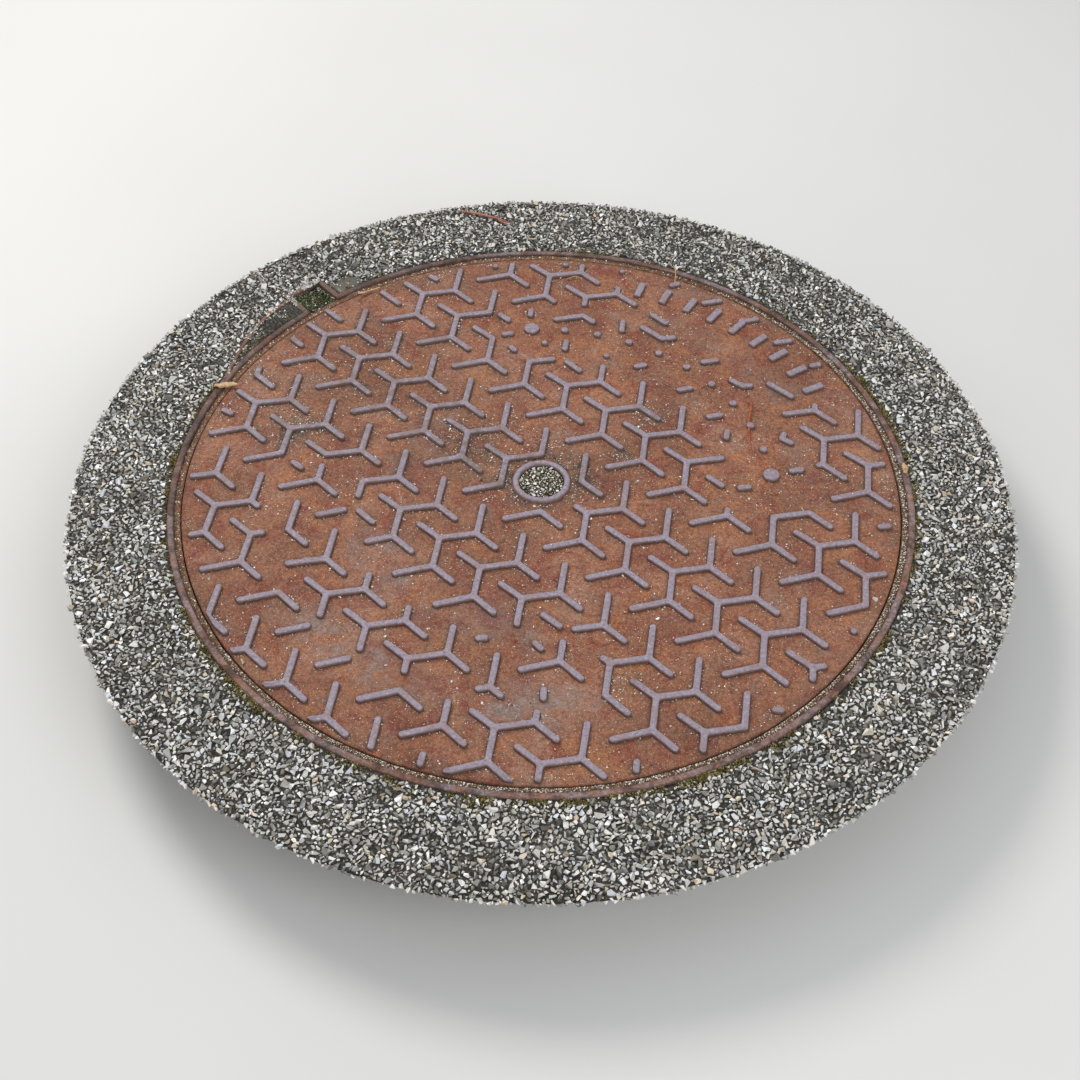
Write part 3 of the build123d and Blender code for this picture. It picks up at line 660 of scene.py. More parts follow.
def land_trees():
    """Each connected land as lists of points and edges between them."""
    figures = {key: WHOLE for key in WHOLE_FIGURES}
    figures.update(CUT_FIGURES)
    edges = []
    for (i, j), words in figures.items():
        ax = LAT_O[0] + i * LAT_1[0] + j * LAT_2[0]
        ay = LAT_O[1] + i * LAT_1[1] + j * LAT_2[1]
        for word in words.split():
            name, _, span = word.partition(":")
            u0, u1 = (float(v) for v in span.split("-")) if span else (0.0, 1.0)
            (x0, y0), (x1, y1) = ARMS[name]
            edges.append(((ax + x0 + (x1 - x0) * u0, ay + y0 + (y1 - y0) * u0), (ax + x0 + (x1 - x0) * u1, ay + y0 + (y1 - y0) * u1)))
    for chain in LONE_LANDS:
        edges += list(zip(chain[:-1], chain[1:]))
    spots, near = [], {}

    def node(p):
        key = (round(p[0]), round(p[1]))
        for a in (-1, 0, 1):
            for b in (-1, 0, 1):
                for k in near.get((key[0] + a, key[1] + b), ()):
                    if math.dist(spots[k], p) < 0.5:
                        return k
        spots.append(p)
        near.setdefault(key, []).append(len(spots) - 1)
        return len(spots) - 1

    links = {}
    for a, b in edges:
        ka, kb = node(a), node(b)
        links.setdefault(ka, set()).add(kb)
        links.setdefault(kb, set()).add(ka)
    seen, trees = set(), []
    for k in sorted(links):
        if k in seen:
            continue
        todo, group = [k], []
        while todo:
            q = todo.pop()
            if q in seen:
                continue
            seen.add(q)
            group.append(q)
            todo += sorted(links[q])
        trees.append({q: sorted(links[q]) for q in group})
    return spots, trees, edges


SPOTS, TREES, EDGES = land_trees()


def outline(tree, hw=LAND_W / 2, rf=2.6):
    """Points and outward normals round a thick tree, counter-clockwise."""
    pts, nrm = [], []

    def arc(cx, cy, rad, a0, a1, sign):
        steps = max(2, int(abs(a1 - a0) / math.radians(26)) + 1)
        for k in range(steps + 1):
            a = a0 + (a1 - a0) * k / steps
            pts.append((cx + rad * math.cos(a), cy + rad * math.sin(a)))
            nrm.append((sign * math.cos(a), sign * math.sin(a)))

    u = min(tree)
    v = tree[u][0]
    first = (u, v)
    while True:
        P, Q = SPOTS[u], SPOTS[v]
        alpha = math.atan2(P[1] - Q[1], P[0] - Q[0])
        best, w = None, None
        for c in tree[v]:
            S = SPOTS[c]
            phi = (math.atan2(S[1] - Q[1], S[0] - Q[0]) - alpha) % (2 * math.pi)
            if c == u or phi < 1e-6:
                phi = 2 * math.pi
            if best is None or phi < best:
                best, w = phi, c
        phi = best
        half = math.pi / 2
        if phi >= 2 * math.pi - 1e-6:
            arc(Q[0], Q[1], hw, alpha + half, alpha + 3 * half, 1)
        elif phi >= math.pi:
            arc(Q[0], Q[1], hw, alpha + half, alpha + phi - half, 1)
        else:
            room = 0.45 * min(math.dist(P, Q), math.dist(Q, SPOTS[w])) if min(len(tree[u]), len(tree[w])) > 1 else 0.9 * min(math.dist(P, Q), math.dist(Q, SPOTS[w]))
            r = min(rf, max(0.05, room * math.tan(phi / 2) - hw))
            d = (hw + r) / math.sin(phi / 2)
            mid = alpha + phi / 2
            arc(Q[0] + d * math.cos(mid), Q[1] + d * math.sin(mid), r, alpha - half, alpha + phi - 3 * half, -1)
        u, v = v, w
        if (u, v) == first:
            break
    # points along the straight stretches
    full, fn = [], []
    for k in range(len(pts)):
        p, q = pts[k - 1], pts[k]
        gap = math.dist(p, q)
        n = int(gap / 3.2)
        if n > 1 and abs(nrm[k][0] - nrm[k - 1][0]) + abs(nrm[k][1] - nrm[k - 1][1]) < 0.4:
            for s in range(1, n):
                t = s / n
                full.append((p[0] + (q[0] - p[0]) * t, p[1] + (q[1] - p[1]) * t))
                fn.append((nrm[k - 1][0] + (nrm[k][0] - nrm[k - 1][0]) * t, nrm[k - 1][1] + (nrm[k][1] - nrm[k - 1][1]) * t))
        full.append(q)
        fn.append(nrm[k])
    return np.array(full), np.array(fn)


def circle_outline(c, r, n=22):
    a = np.arange(n) * 2 * np.pi / n
    N = np.stack([np.cos(a), np.sin(a)], -1)
    return N * r + np.array(c), N


def pad_outline(deg):
    c, s = math.cos(math.radians(deg)), math.sin(math.radians(deg))
    pts, nrm = [], []
    for sx, sy, a0 in ((1, 1, 0), (-1, 1, 90), (-1, -1, 180), (1, -1, 270)):
        for k in range(6):
            a = math.radians(a0 + 18 * k)
            pts.append((sx * (PAD_L / 2 - 1.8) + 1.8 * math.cos(a), sy * (PAD_W / 2 - 1.8) + 1.8 * math.sin(a)))
            nrm.append((math.cos(a), math.sin(a)))
    P, N = np.array(pts), np.array(nrm)
    full, fn = [], []
    for k in range(len(P)):
        gap = np.linalg.norm(P[k] - P[k - 1])
        n = int(gap / 3.0)
        for t in (np.arange(1, n) / n if n > 1 else []):
            full.append(P[k - 1] + (P[k] - P[k - 1]) * t)
            fn.append(N[k])
        full.append(P[k])
        fn.append(N[k])
    R = np.array([[c, s], [-s, c]])
    return np.array(full) @ R + np.array(ray(PAD_R, deg)), np.array(fn) @ R


# ------------------------------------------------------------------ the plate's surface
E0 = np.array([a for a, b in EDGES])
E1 = np.array([b for a, b in EDGES])


def land_distance(x, y):
    """Distance from points to the nearest land centreline, mm."""
    P = np.stack([x, y], -1).reshape(-1, 2)
    out = np.full(len(P), 1e9)
    d = E1 - E0
    l2 = np.maximum((d**2).sum(1), 1e-9)
    for k in range(0, len(P), 20000):
        q = P[k : k + 20000]
        best = np.full(len(q), 1e9)
        for e in range(len(E0)):
            w = q - E0[e]
            t = np.clip(w @ d[e] / l2[e], 0, 1)
            s = w - t[:, None] * d[e]
            best = np.minimum(best, (s**2).sum(1))
        out[k : k + 20000] = np.sqrt(best)
    return out.reshape(np.shape(x))


def plate_z(x, y):
    r, a = np.hypot(x, y), np.degrees(np.arctan2(y, x))
    z = PLATE_Z + 0.22 * fbm(x, y, 70, 3, 11) + 0.13 * fbm(x, y, 9, 3, 21)
    z = z - 0.35 * ease(177.6, 179.6, r) * (1 - ease(262, 300, r)) * ease(-9, -3, a) * (1 - ease(58, 68, a))
    return z


def arc_patch(x, y, r0, dr, a0, a1, soft=7.0):
    r, a = np.hypot(x, y), np.degrees(np.arctan2(y, x))
    mid, half = (a0 + a1) / 2, abs(a1 - a0) / 2
    along = 1 - ease(half - soft * 0.5, half + soft, np.abs(turned(a, mid)))
    return along * np.exp(-(((r - r0) / dr) ** 2))


def spot(x, y, cx, cy, rad):
    return np.exp(-(((x - cx) ** 2 + (y - cy) ** 2) / rad**2))


def worn_map(x, y):
    w = 0.75 * arc_patch(x, y, 169, 20, 205, 258) + 0.7 * arc_patch(x, y, 252, 17, 220, 280)
    w = w + 0.5 * arc_patch(x, y, 257, 13, 30, 60) + 0.45 * arc_patch(x, y, 177, 10, 31, 56)
    for cx, cy, rad in ((-146, -86, 26), (-109, -129, 27), (-54, -160, 24), (-180, -175, 24), (-135, -215, 24), (-20, -252, 26), (23, -246, 20)):
        w = w + 0.6 * spot(x, y, cx, cy, rad)
    w = w + 0.45 * ease(0.16, 0.5, fbm(x, y, 60, 5, 41))
    return np.clip(w * (0.45 + 0.75 * ease(-0.3, 0.35, fbm(x, y, 22, 4, 43))), 0, 1)


def dirt_map(x, y):
    r = np.hypot(x, y)
    d = 0.95 * np.exp(-(((r - 27) / 9.0) ** 2))
    for cx, cy, rad, k in ((34, 12, 16, 0.8), (20, 32, 14, 0.7), (-34, 6, 13, 0.7), (77, 34, 12, 0.9), (103, 89, 15, 0.8), (-72, 50, 34, 0.5),
                           (72, -223, 14, 0.7), (-229, 69, 20, 0.7), (-60, 22, 26, 0.4), (52, -6, 18, 0.5), (-110, 110, 60, 0.28), (-200, 150, 70, 0.25)):
        d = d + k * spot(x, y, cx, cy, rad)
    d = d + 0.55 * ease(306, 324, r) * (0.5 + 0.5 * fbm(x, y, 24, 3, 51))
    return np.clip(d, 0, 1) * ease(26.2, 27.2, r)


def cover_body():
    n = 680
    degs = np.arange(n) * 360.0 / n
    head = [(SOCKET_R, CUP_HEAD_Z), (SOCKET_R, 83.0), (SOCKET_R + 0.05, 87.4), (SOCKET_R + 0.5, 88.4), (SOCKET_R + 1.4, 88.95),
            (23.4, 89.05), (24.8, 88.95), (25.6, 88.5), (26.1, 87.6), (26.5, 86.3), (27.2, PLATE_Z + 0.15)]
    plate = [(r, PLATE_Z) for r in np.r_[np.linspace(28.6, 176.0, 48), 177.6, 178.6, 179.6, np.linspace(182.5, 321.6, 50)]]
    skirt = [(323.2, PLATE_Z), (324.2, PLATE_Z - 0.25), (324.8, PLATE_Z - 0.9), (COVER_R, PLATE_Z - 1.9), (324.85, 81.5), (324.69, NOTCH_TOP_Z),
             (324.3, 70.0), (323.9, 60.0), (323.55, 53.6), (322.9, COVER_FOOT_Z), (312.4, COVER_FOOT_Z), (311.7, 53.4), (312.0, 62.0), (312.4, 71.0),
             (312.5, NOTCH_TOP_Z - 1.5), (309.5, NOTCH_TOP_Z)]
    under = [(r, NOTCH_TOP_Z) for r in (290.0, 262.0, 232.0, 202.0, 172.0, 142.0, 112.0, 84.0, 60.0, 44.0, 36.0)]
    boss = [(33.0, 76.8), (31.4, 75.0), (31.0, 66.0), (30.6, 57.0), (29.6, 56.0), (CUP_OUT_R, 56.0), (CUP_OUT_R, CUP_HEAD_Z)]
    profile = np.array(head + plate + skirt + under + boss)
    first_plate, last_plate = len(head), len(head) + len(plate)

    def wiggle(r, z, d):
        x, y = polar(r, d)
        row = np.arange(len(profile))[:, None] + 0 * r
        top = (row >= first_plate - 1) & (row <= last_plate + 3)
        dz = np.where(top, (plate_z(x, y) - PLATE_Z), 0.0)
        ring = (row >= 2) & (row < first_plate - 1)
        dz = dz + np.where(ring, 0.14 * fbm(x * 1.7, y * 1.7, 6, 2, 61), 0.0)
        lo = row >= last_plate + 14
        dz = dz + np.where(lo & (row < len(profile) - 4), 0.35 * fbm(x, y, 16, 3, 71), 0.0)
        dr = np.where(ring, 0.16 * fbm(x * 1.3, y * 1.3, 5, 2, 81), 0.0)
        side = (row > last_plate + 1) & (row < last_plate + 9)
        dr = dr - np.where(side, 0.22 * (0.5 + 0.5 * fbm(d * 5.6, z, 9, 3, 91)), 0.0)
        return dr, dz

    V, Q = lathe(profile, degs, wiggle)
    m = len(profile)
    # notch in the skirt
    i0, i1 = last_plate + 5, last_plate + 14
    half = math.degrees(math.asin(POCKET_W / 2 / (COVER_R - 6)))
    k0, k1 = int(math.ceil((POCKET_DEG - half) / (360 / n))), int(math.floor((POCKET_DEG + half) / (360 / n)))
    row, col = np.arange(len(Q)) // n, np.arange(len(Q)) % n
    cut = (row >= i0) & (row < i1) & (col >= k0) & (col < k1)
    Q = Q[~cut]
    extra = [[i0 * n + k, i0 * n + k + 1, i1 * n + k + 1, i1 * n + k] for k in range(k0, k1)]
    extra += [[i * n + k0 for i in range(i0, i1 + 1)], [i * n + k1 for i in range(i1, i0 - 1, -1)]]
    x, y, z = V.T
    away = land_distance(x, y)
    # painted shade mask: 1 at the feet of the lands and of the centre ring, fading out within about 3 mm
    painted_foot_shade = 1 - ease(LAND_W / 2 + 0.3, LAND_W / 2 + 3.4, away)
    painted_foot_shade = np.where(z > 80, np.clip(painted_foot_shade + (1 - ease(26.6, 30.0, np.hypot(x, y))), 0, 1), 0)
    keep = z > 77.6
    faces = [Q] + extra
    a = np.degrees(np.arctan2(y, x))
    held = (1 - ease(LAND_W / 2, 10.5, away)) * (0.12 + 0.88 * np.exp(-((turned(a, 142) / 62) ** 2)) + 0.3 * np.exp(-((turned(a, 20) / 40) ** 2))) * ease(-0.12, 0.30, fbm(x, y, 30, 3, 53))
    o = build("cover_body", V, faces, M_PLATE, COVER, attrs={
        "worn": np.where(keep, worn_map(x, y), 0), "dirt": np.where(keep, np.clip(dirt_map(x, y) + 0.9 * held, 0, 1), 0), "painted_foot_shade": painted_foot_shade}, fix_normals=True)
    o.data.materials.append(M_UNDER)
    o.data.materials.append(M_LAND)
    c = np.zeros(len(o.data.polygons) * 3, np.float32)
    o.data.polygons.foreach_get("center", c)
    c = c.reshape(-1, 3) / MM
    rr = np.hypot(c[:, 0], c[:, 1])
    ix = np.where((c[:, 2] < 79.5) | ((rr > 324.6) & (c[:, 2] < 83.0)), 1, 0)
    ix = np.where((rr < 26.8) & (c[:, 2] > 79.5), 2, ix)
    o.data.polygons.foreach_set("material_index", ix.astype(np.int32))
    crest = np.clip((z - PLATE_Z) / 3.5, 0, 1)
    at = o.data.attributes.new("crest", "FLOAT", "POINT")
    at.data.foreach_set("value", crest.astype(np.float32))
    return o


RINGS = [(0.95, -0.45, 0.0), (0.55, 0.05, 0.04), (0.26, 0.6, 0.14), (0.06, 1.6, 0.34), (-0.10, 2.6, 0.56), (-0.26, 3.12, 0.80), (-0.52, 3.38, 0.97), (-1.35, 3.5, 1.0)]


def cover_lands():
    shapes = [outline(t) for t in TREES]
    shapes += [circle_outline(c, LAND_W / 2, 18) for c in LONE_STUDS]
    shapes += [circle_outline(c, FIELD_STUD_R, 20) for c in FIELD_STUDS]
    shapes += [circle_outline(c, FIELD_DISC_R, 36) for c in FIELD_DISCS]
    shapes += [pad_outline(a) for a in PAD_DEGS]
    V, F, crest, start = [], [], [], 0
    for P, N in shapes:
        n = len(P)
        edge = 0.16 * fbm(P[:, 0] * 1.0, P[:, 1] * 1.0, 4.5, 2, 101)
        tall = 1 - 0.10 * (0.5 + 0.5 * fbm(P[:, 0], P[:, 1], 40, 2, 111))
        # never past the cover's edge
        for k, (off, z, c) in enumerate(RINGS):
            q = P + N * (off + edge * (1 if off < 1 else 0.3))[:, None]
            rr = np.hypot(q[:, 0], q[:, 1])
            q = q * np.minimum(1, 323.2 / rr)[:, None]
            zz = plate_z(q[:, 0], q[:, 1]) if off > 0.5 else plate_z(P[:, 0], P[:, 1])
            h = z * (tall if z > 1 else 1) + (0.07 * fbm(q[:, 0], q[:, 1], 3.4, 2, 121) if z > 2 else 0)
            V.append(np.c_[q, zz + h])
            crest.append(np.full(n, c))
        idx = start + np.arange(len(RINGS) * n).reshape(len(RINGS), n)
        A, B = idx[:-1], idx[1:]
        F.append(np.stack([A, np.roll(A, -1, 1), np.roll(B, -1, 1), B], -1).reshape(-1, 4))
        F.append(idx[-1].tolist())
        start += len(RINGS) * n
    V = np.concatenate(V)
    faces = []
    for f in F:
        faces.append(f)
    a = np.degrees(np.arctan2(V[:, 1], V[:, 0]))
    dulled = dirt_map(V[:, 0], V[:, 1]) + 0.5 * np.exp(-((turned(a, 140) / 60) ** 2)) + 0.2 * np.exp(-((turned(a, 30) / 50) ** 2))
    return build("cover_lands", V, faces, M_LAND, COVER, attrs={"crest": np.concatenate(crest), "dirt": np.clip(dulled, 0, 1)})


def cover_ribs():
    """Stiffening under the plate: eight radial ribs and one ring rib, with cast fillets."""
    sec = np.array([(-7.0, 77.9), (-5.0, 77.1), (-3.9, 75.6), (-3.4, 72.5), (-3.1, 66.0), (-2.9, 59.2), (-2.3, 57.9), (-1.3, 57.5),
                    (1.3, 57.5), (2.3, 57.9), (2.9, 59.2), (3.1, 66.0), (3.4, 72.5), (3.9, 75.6), (5.0, 77.1), (7.0, 77.9)])
    V, F, start = [], [], 0
    rs = np.linspace(29.0, 313.0, 58)
    for k in range(8):
        deg = 22.5 + 45 * k
        c, s = math.cos(math.radians(deg)), math.sin(math.radians(deg))
        R, U = np.meshgrid(rs, sec[:, 0], indexing="ij")
        Z = np.repeat(sec[None, :, 1], len(rs), 0)
        U = U + 0.28 * fbm(R, Z * 2 + 50 * k, 9, 3, 131)
        Z = Z + np.where(Z < 77, 0.3 * fbm(R, U * 3 + 31 * k, 14, 3, 141), 0)
        V.append(np.stack([R * c - U * s, R * s + U * c, Z], -1).reshape(-1, 3))
        n, m = len(rs), len(sec)
        idx = start + np.arange(n * m).reshape(n, m)
        F.append(np.stack([idx[:-1, :-1], idx[1:, :-1], idx[1:, 1:], idx[:-1, 1:]], -1).reshape(-1, 4))
        F.append(np.stack([idx[:-1, -1], idx[1:, -1], idx[1:, 0], idx[:-1, 0]], -1).reshape(-1, 4))
        F.append(idx[0, ::1].tolist())
        F.append(idx[-1, ::-1].tolist())
        start += n * m
    degs = np.arange(360)
    ring = [(180 + u, z + 2.0 if z < 70 else z) for u, z in sec]
    W, Q = lathe(ring, degs, lambda r, z, d: (0.25 * fbm(d * 3.1, z * 2, 9, 3, 151), np.where(z < 77, 0.3 * fbm(d * 3.1, r * 2, 12, 3, 161), 0)))
    V.append(W)
    F.append(Q + start)
    return build("cover_ribs", np.concatenate(V), F, M_UNDER, COVER, fix_normals=True)


cover = cover_body()
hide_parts("cover_casting")
lands = cover_lands()
ribs = cover_ribs()

# ------------------------------------------------------------------ grit on the cover
PEBBLES = hulls(30, 201, flat=0.72, points=12, rough=0.25)
GRAINS = hulls(30, 203, flat=0.75, points=8, rough=0.3)
FLAKES = hulls(20, 202, flat=0.5, points=10, rough=0.35)


def cover_grit():
    rng = np.random.default_rng(301)
    # scattered
    n = 74000
    r = np.sqrt(rng.uniform(28**2, 322**2, n))
    a = rng.uniform(0, 360, n)
    x, y = polar(r, a)
    want = 0.10 + 0.13 * np.exp(-((turned(a, 140) / 70) ** 2)) + 0.08 * np.exp(-((turned(a, 10) / 45) ** 2)) + 0.25 * ease(309, 321, r)
    want = want * (0.35 + 1.3 * ease(-0.25, 0.45, fbm(x, y, 34, 3, 302)))
    for cx, cy, rad, k in ((-229, 69, 24, 1.2), (72, -223, 16, 1.0), (0, 0, 44, 1.0), (77, 34, 16, 1.0), (103, 89, 18, 0.9), (-72, 50, 40, 0.4)):
        want = want + k * spot(x, y, cx, cy, rad)
    pick = rng.random(n) < want
    x, y = x[pick], y[pick]
    # held at the feet of the lands
    held = 8200
    k = rng.integers(0, len(E0), held)
    t = rng.random(held)[:, None]
    base = E0[k] + (E1[k] - E0[k]) * t
    d = E1[k] - E0[k]
    d /= np.linalg.norm(d, axis=1)[:, None]
    off = (LAND_W / 2 + rng.uniform(0.7, 2.8, held)) * np.where(rng.random(held) < 0.5, -1, 1)
    base = base + np.stack([-d[:, 1], d[:, 0]], -1) * off[:, None]
    bias = 0.42 + 0.45 * np.exp(-((turned(np.degrees(np.arctan2(base[:, 1], base[:, 0])), 150) / 80) ** 2))
    base = base[rng.random(held) < bias]
    x, y = np.r_[x, base[:, 0]], np.r_[y, base[:, 1]]
    ok = (np.hypot(x, y) < 323) & (np.hypot(x, y) > 27.5)
    x, y = x[ok], y[ok]
    near = land_distance(x, y)
    size = np.clip(rng.lognormal(-0.58, 0.44, len(x)), 0.26, 1.9)
    on_top = near < LAND_W / 2 - 0.6
    keep = (near > LAND_W / 2 + 0.7) | (on_top & (rng.random(len(x)) < 0.3))
    size = np.where(on_top, size * 0.7, size)
    z = plate_z(x, y) + np.where(on_top, LAND_H - 0.2, 0.0) + 0.30 * size
    x, y, z, size = x[keep], y[keep], z[keep], size[keep]
    tone = np.clip(rng.beta(1.3, 0.9, len(x)), 0, 1)
    V, F, at = strew(GRAINS, np.c_[x, y, z], size, 303, tilt=0.6, attrs={"tone": tone, "warm": rng.random(len(x))})
    print("grit grains on the cover", len(x), "triangles", len(F))
    return build("cover_grit", V, [F], M_GRIT, COVER, smooth=False, attrs=at, facets=304)


cover_grit()


# ------------------------------------------------------------------ packed grit in the lifting socket
def socket_fill():
    rs = np.r_[0.02, np.linspace(1.5, 20.1, 12), 20.55]
    degs = np.arange(96) * 3.75
    P = [(r, 86.2) for r in rs] + [(20.6, 80.5)]

    def wiggle(r, z, d):
        x, y = polar(r, d)
        lift = 0.8 * fbm(x, y, 7, 3, 401) - 0.9 * ease(15, 20.5, r)
        return 0 * r, np.where(z > 82, lift, 0.0)

    V, Q = lathe(P, degs, wiggle, closed=False)
    tip = len(V)
    V = np.vstack([V, [[0, 0, 86.2 + 0.2]]])
    tris = [[j, (j + 1) % 96, tip] for j in range(96)]
    build("socket_dirt", V, [Q, np.array(tris)], M_SOIL, COVER, fix_normals=True)
    rng = np.random.default_rng(402)

    def sample(g, n):
        r, a = 19.6 * np.sqrt(g.random(n)), g.uniform(0, 360, n)
        return np.stack(polar(r, a), -1)

    D = pack_discs(sample, np.r_[rng.uniform(1.8, 2.7, 26), rng.uniform(1.0, 1.8, 150), rng.uniform(0.5, 1.0, 700)], 403, 0.9, 8)
    x, y, s = D.T
    z = 86.3 + 0.8 * fbm(x, y, 7, 3, 401) - 0.9 * ease(15, 20.5, np.hypot(x, y)) + 0.30 * s
    tone = np.clip(rng.beta(1.2, 1.2, len(x)) + (s > 1.8) * 0.15, 0, 1)
    V, F, at = strew(PEBBLES, np.c_[x, y, z], s * 1.05, 404, tilt=0.5, attrs={"tone": tone, "warm": rng.random(len(x))})
    build("socket_grit", V, [F], M_GRIT, COVER, smooth=False, attrs=at, facets=405)


socket_fill()

# ------------------------------------------------------------------ frame
for node, mat, slot in (("frame_casting", M_FRAME, "frame_iron"), ("pocket_casting", M_FRAME, "frame_iron"), ("seat_ring", rubber_material(), "seat_rubber"),
                        ("key_cup", steel_material("cup_steel_dull", (150, 146, 140), (110, 74, 52)), "cup_steel"),
                        ("lifting_bar", steel_material("bar_steel_dull", (136, 132, 128), (120, 76, 50)), "bar_steel")):
    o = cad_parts.get(node)
    if o is None:
        continue
    o.data.materials.clear()
    o.data.materials.append(mat)


def rim_skin():
    """The worn face of the rim: one strip, broken at the pocket."""
    gap = math.degrees(math.asin((POCKET_W / 2) / 334.0))
    n = 1500
    degs = np.linspace(POCKET_DEG + gap, POCKET_DEG + 360 - gap, n)
    prof = [(330.9, 74.0), (331.2, 79.0), (331.3, 83.0), (331.32, 85.6), (331.55, 86.7), (332.2, 87.12), (333.3, 87.22), (334.5, 87.25),
            (335.7, 87.2), (336.8, 87.08), (337.5, 86.6), (337.85, 85.5), (337.7, 84.0)]

    def wiggle(r, z, d):
        u = d * 5.83
        big = fbm(u, 0 * u + 3, 26, 4, 501)
        small = fbm(u, r * 2.2, 4.2, 3, 511)
        nick = ease(0.42, 0.62, fbm(u, 0 * u + 90, 17, 2, 521))
        out = r > 334.5
        dz = np.where(z > 86.4, 0.16 * big + 0.13 * small - 0.3 * nick * np.where(out, 1.0, 0.2), 0)
        dr = np.where(z > 84.5, 0.2 * big + 0.14 * fbm(u, z * 2, 5, 3, 531), 0.0) + np.where(out & (z > 84.5), -0.35 * nick, 0)
        return dr, dz

    V, Q = lathe(prof, degs, wiggle, closed=False, wrap=False)
    ends = [[i * n for i in range(len(prof))], [i * n + n - 1 for i in range(len(prof) - 1, -1, -1)]]
    x, y, z = V.T
    a, r = np.degrees(np.arctan2(y, x)), np.hypot(x, y)
    # dirt over two sectors of the rim, plus painted shade on the rounded inner and outer edges of the rim face
    dirt_and_edge_shade = 0.75 * (1 - ease(28, 60, np.abs(turned(a, 148)))) + 0.35 * (1 - ease(40, 80, np.abs(turned(a, 85)))) + 0.9 * ease(336.3, 337.6, r) + 0.9 * (1 - ease(331.4, 332.6, r))
    return build("rim_face", V, [Q] + ends, M_RIM, FRAME, attrs={"dirt_and_edge_shade": np.clip(dirt_and_edge_shade, 0, 1)}, fix_normals=True)


rim_skin()

WING = [ray(362.8, 135.3), ray(361.5, 139.3), ray(357.0, 143.5), ray(347.0, 149.6), ray(335.6, 157.0)]


def smooth_line(points, n):
    """Points along a smooth curve through the given ones."""
    P = np.array(points, float)
    P = np.vstack([2 * P[0] - P[1], P, 2 * P[-1] - P[-2]])
    out = []
    for k in range(1, len(P) - 2):
        t = np.linspace(0, 1, n, endpoint=k == len(P) - 3)[:, None]
        a, b, c, d = P[k - 1], P[k], P[k + 1], P[k + 2]
        out.append(0.5 * (2 * b + (c - a) * t + (2 * a - 5 * b + 4 * c - d) * t**2 + (3 * b - a - 3 * c + d) * t**3))
    return np.vstack(out)


def wall_cap(name, line, half, z_lo, z_hi, seed, mat=None):
    """A rusty capped wall along a line, with a ragged top."""
    P = np.asarray(line, float)
    T = np.gradient(P, axis=0)
    T /= np.linalg.norm(T, axis=1)[:, None]
    N = np.stack([-T[:, 1], T[:, 0]], -1)
    s = np.r_[0, np.cumsum(np.linalg.norm(np.diff(P, axis=0), axis=1))]
    sec = [(-half - 0.2, z_lo), (-half - 0.2, z_hi - 2.0), (-half, z_hi - 0.4), (-half * 0.6, z_hi + 0.1), (0, z_hi + 0.2), (half * 0.6, z_hi + 0.1),
           (half, z_hi - 0.4), (half + 0.2, z_hi - 2.0), (half + 0.2, z_lo)]
    V = []
    for u, z in sec:
        w = u + 0.25 * fbm(s, 0 * s + z * 2 + u, 5, 3, seed)
        zz = z + (0.3 * fbm(s, 0 * s + u * 2, 6, 3, seed + 7) if z > z_lo else 0)
        V.append(np.c_[P + N * w[:, None], zz + 0 * s])
    V = np.array(V)
    m, n = V.shape[:2]
    idx = np.arange(m * n).reshape(m, n)
    Q = np.stack([idx[:-1, :-1], idx[:-1, 1:], idx[1:, 1:], idx[1:, :-1]], -1).reshape(-1, 4)
    bottom = np.stack([idx[-1, :-1], idx[-1, 1:], idx[0, 1:], idx[0, :-1]], -1).reshape(-1, 4)
    return build(name, V.reshape(-1, 3), [Q, bottom, idx[:, 0].tolist(), idx[::-1, -1].tolist()], mat or M_RIM, FRAME, fix_normals=True)


wall_cap("wing_face", smooth_line(WING, 22), 1.5, 80.0, 86.9, 541, M_WING)
PX, PY = np.array(ray(1, POCKET_DEG)), np.array(ray(1, POCKET_DEG + 90))


def in_pocket(u, v):
    """From the pocket's own axes, outward and across, to x and y."""
    return np.multiply.outer(np.asarray(u, float), PX) + np.multiply.outer(np.asarray(v, float), PY)


side = POCKET_W / 2 + POCKET_WALL / 2
us = np.linspace(338.0, 368.0, 20)
loop = [in_pocket(u, side) for u in us] + [in_pocket(368.0, v) for v in np.linspace(side, -side, 22)[1:-1]] + [in_pocket(u, -side) for u in us[::-1]]
wall_cap("pocket_face", np.array(loop), 2.4, 79.0, 86.75, 561, M_POCKET)

# ------------------------------------------------------------------ road surface
POCKET_HALF_IN = math.degrees(math.asin((POCKET_W / 2 + POCKET_WALL) / POCKET_END_R))
POCKET_HALF_OUT = math.degrees(math.asin((POCKET_W / 2 + POCKET_WALL) / RIM_OUT_R))


def inner_edge(deg):
    """Inside radius of the road surface at an angle."""
    d = np.abs(turned(deg, POCKET_DEG))
    return np.where(d <= POCKET_HALF_IN + 1e-6, POCKET_END_R / np.cos(np.radians(d)), RIM_OUT_R)


def in_wing(x, y):
    """True in the patch of soil between the wing wall and the rim."""
    r, a = np.hypot(x, y), np.degrees(np.arctan2(y, x)) % 360
    wa = np.array([135.9, 139.3, 143.5, 149.6, 157.0])
    wr = np.array([362.5, 361.5, 357.0, 347.0, 336.0])
    return (a > 135.6) & (a < 157) & (r < np.interp(a, wa, wr) + 1.0)


def smear(x, y):
    """1 inside the smooth mortar patch beside the pocket."""
    r, a = np.hypot(x, y), np.degrees(np.arctan2(y, x)) % 360
    return (1 - ease(1.5, 2.9, np.abs(turned(a, 125.9)) + 1.5 * fbm(x, y, 10, 3, 601))) * (1 - ease(7, 13, np.abs(r - 347) + 7 * fbm(x, y, 9, 3, 602)))


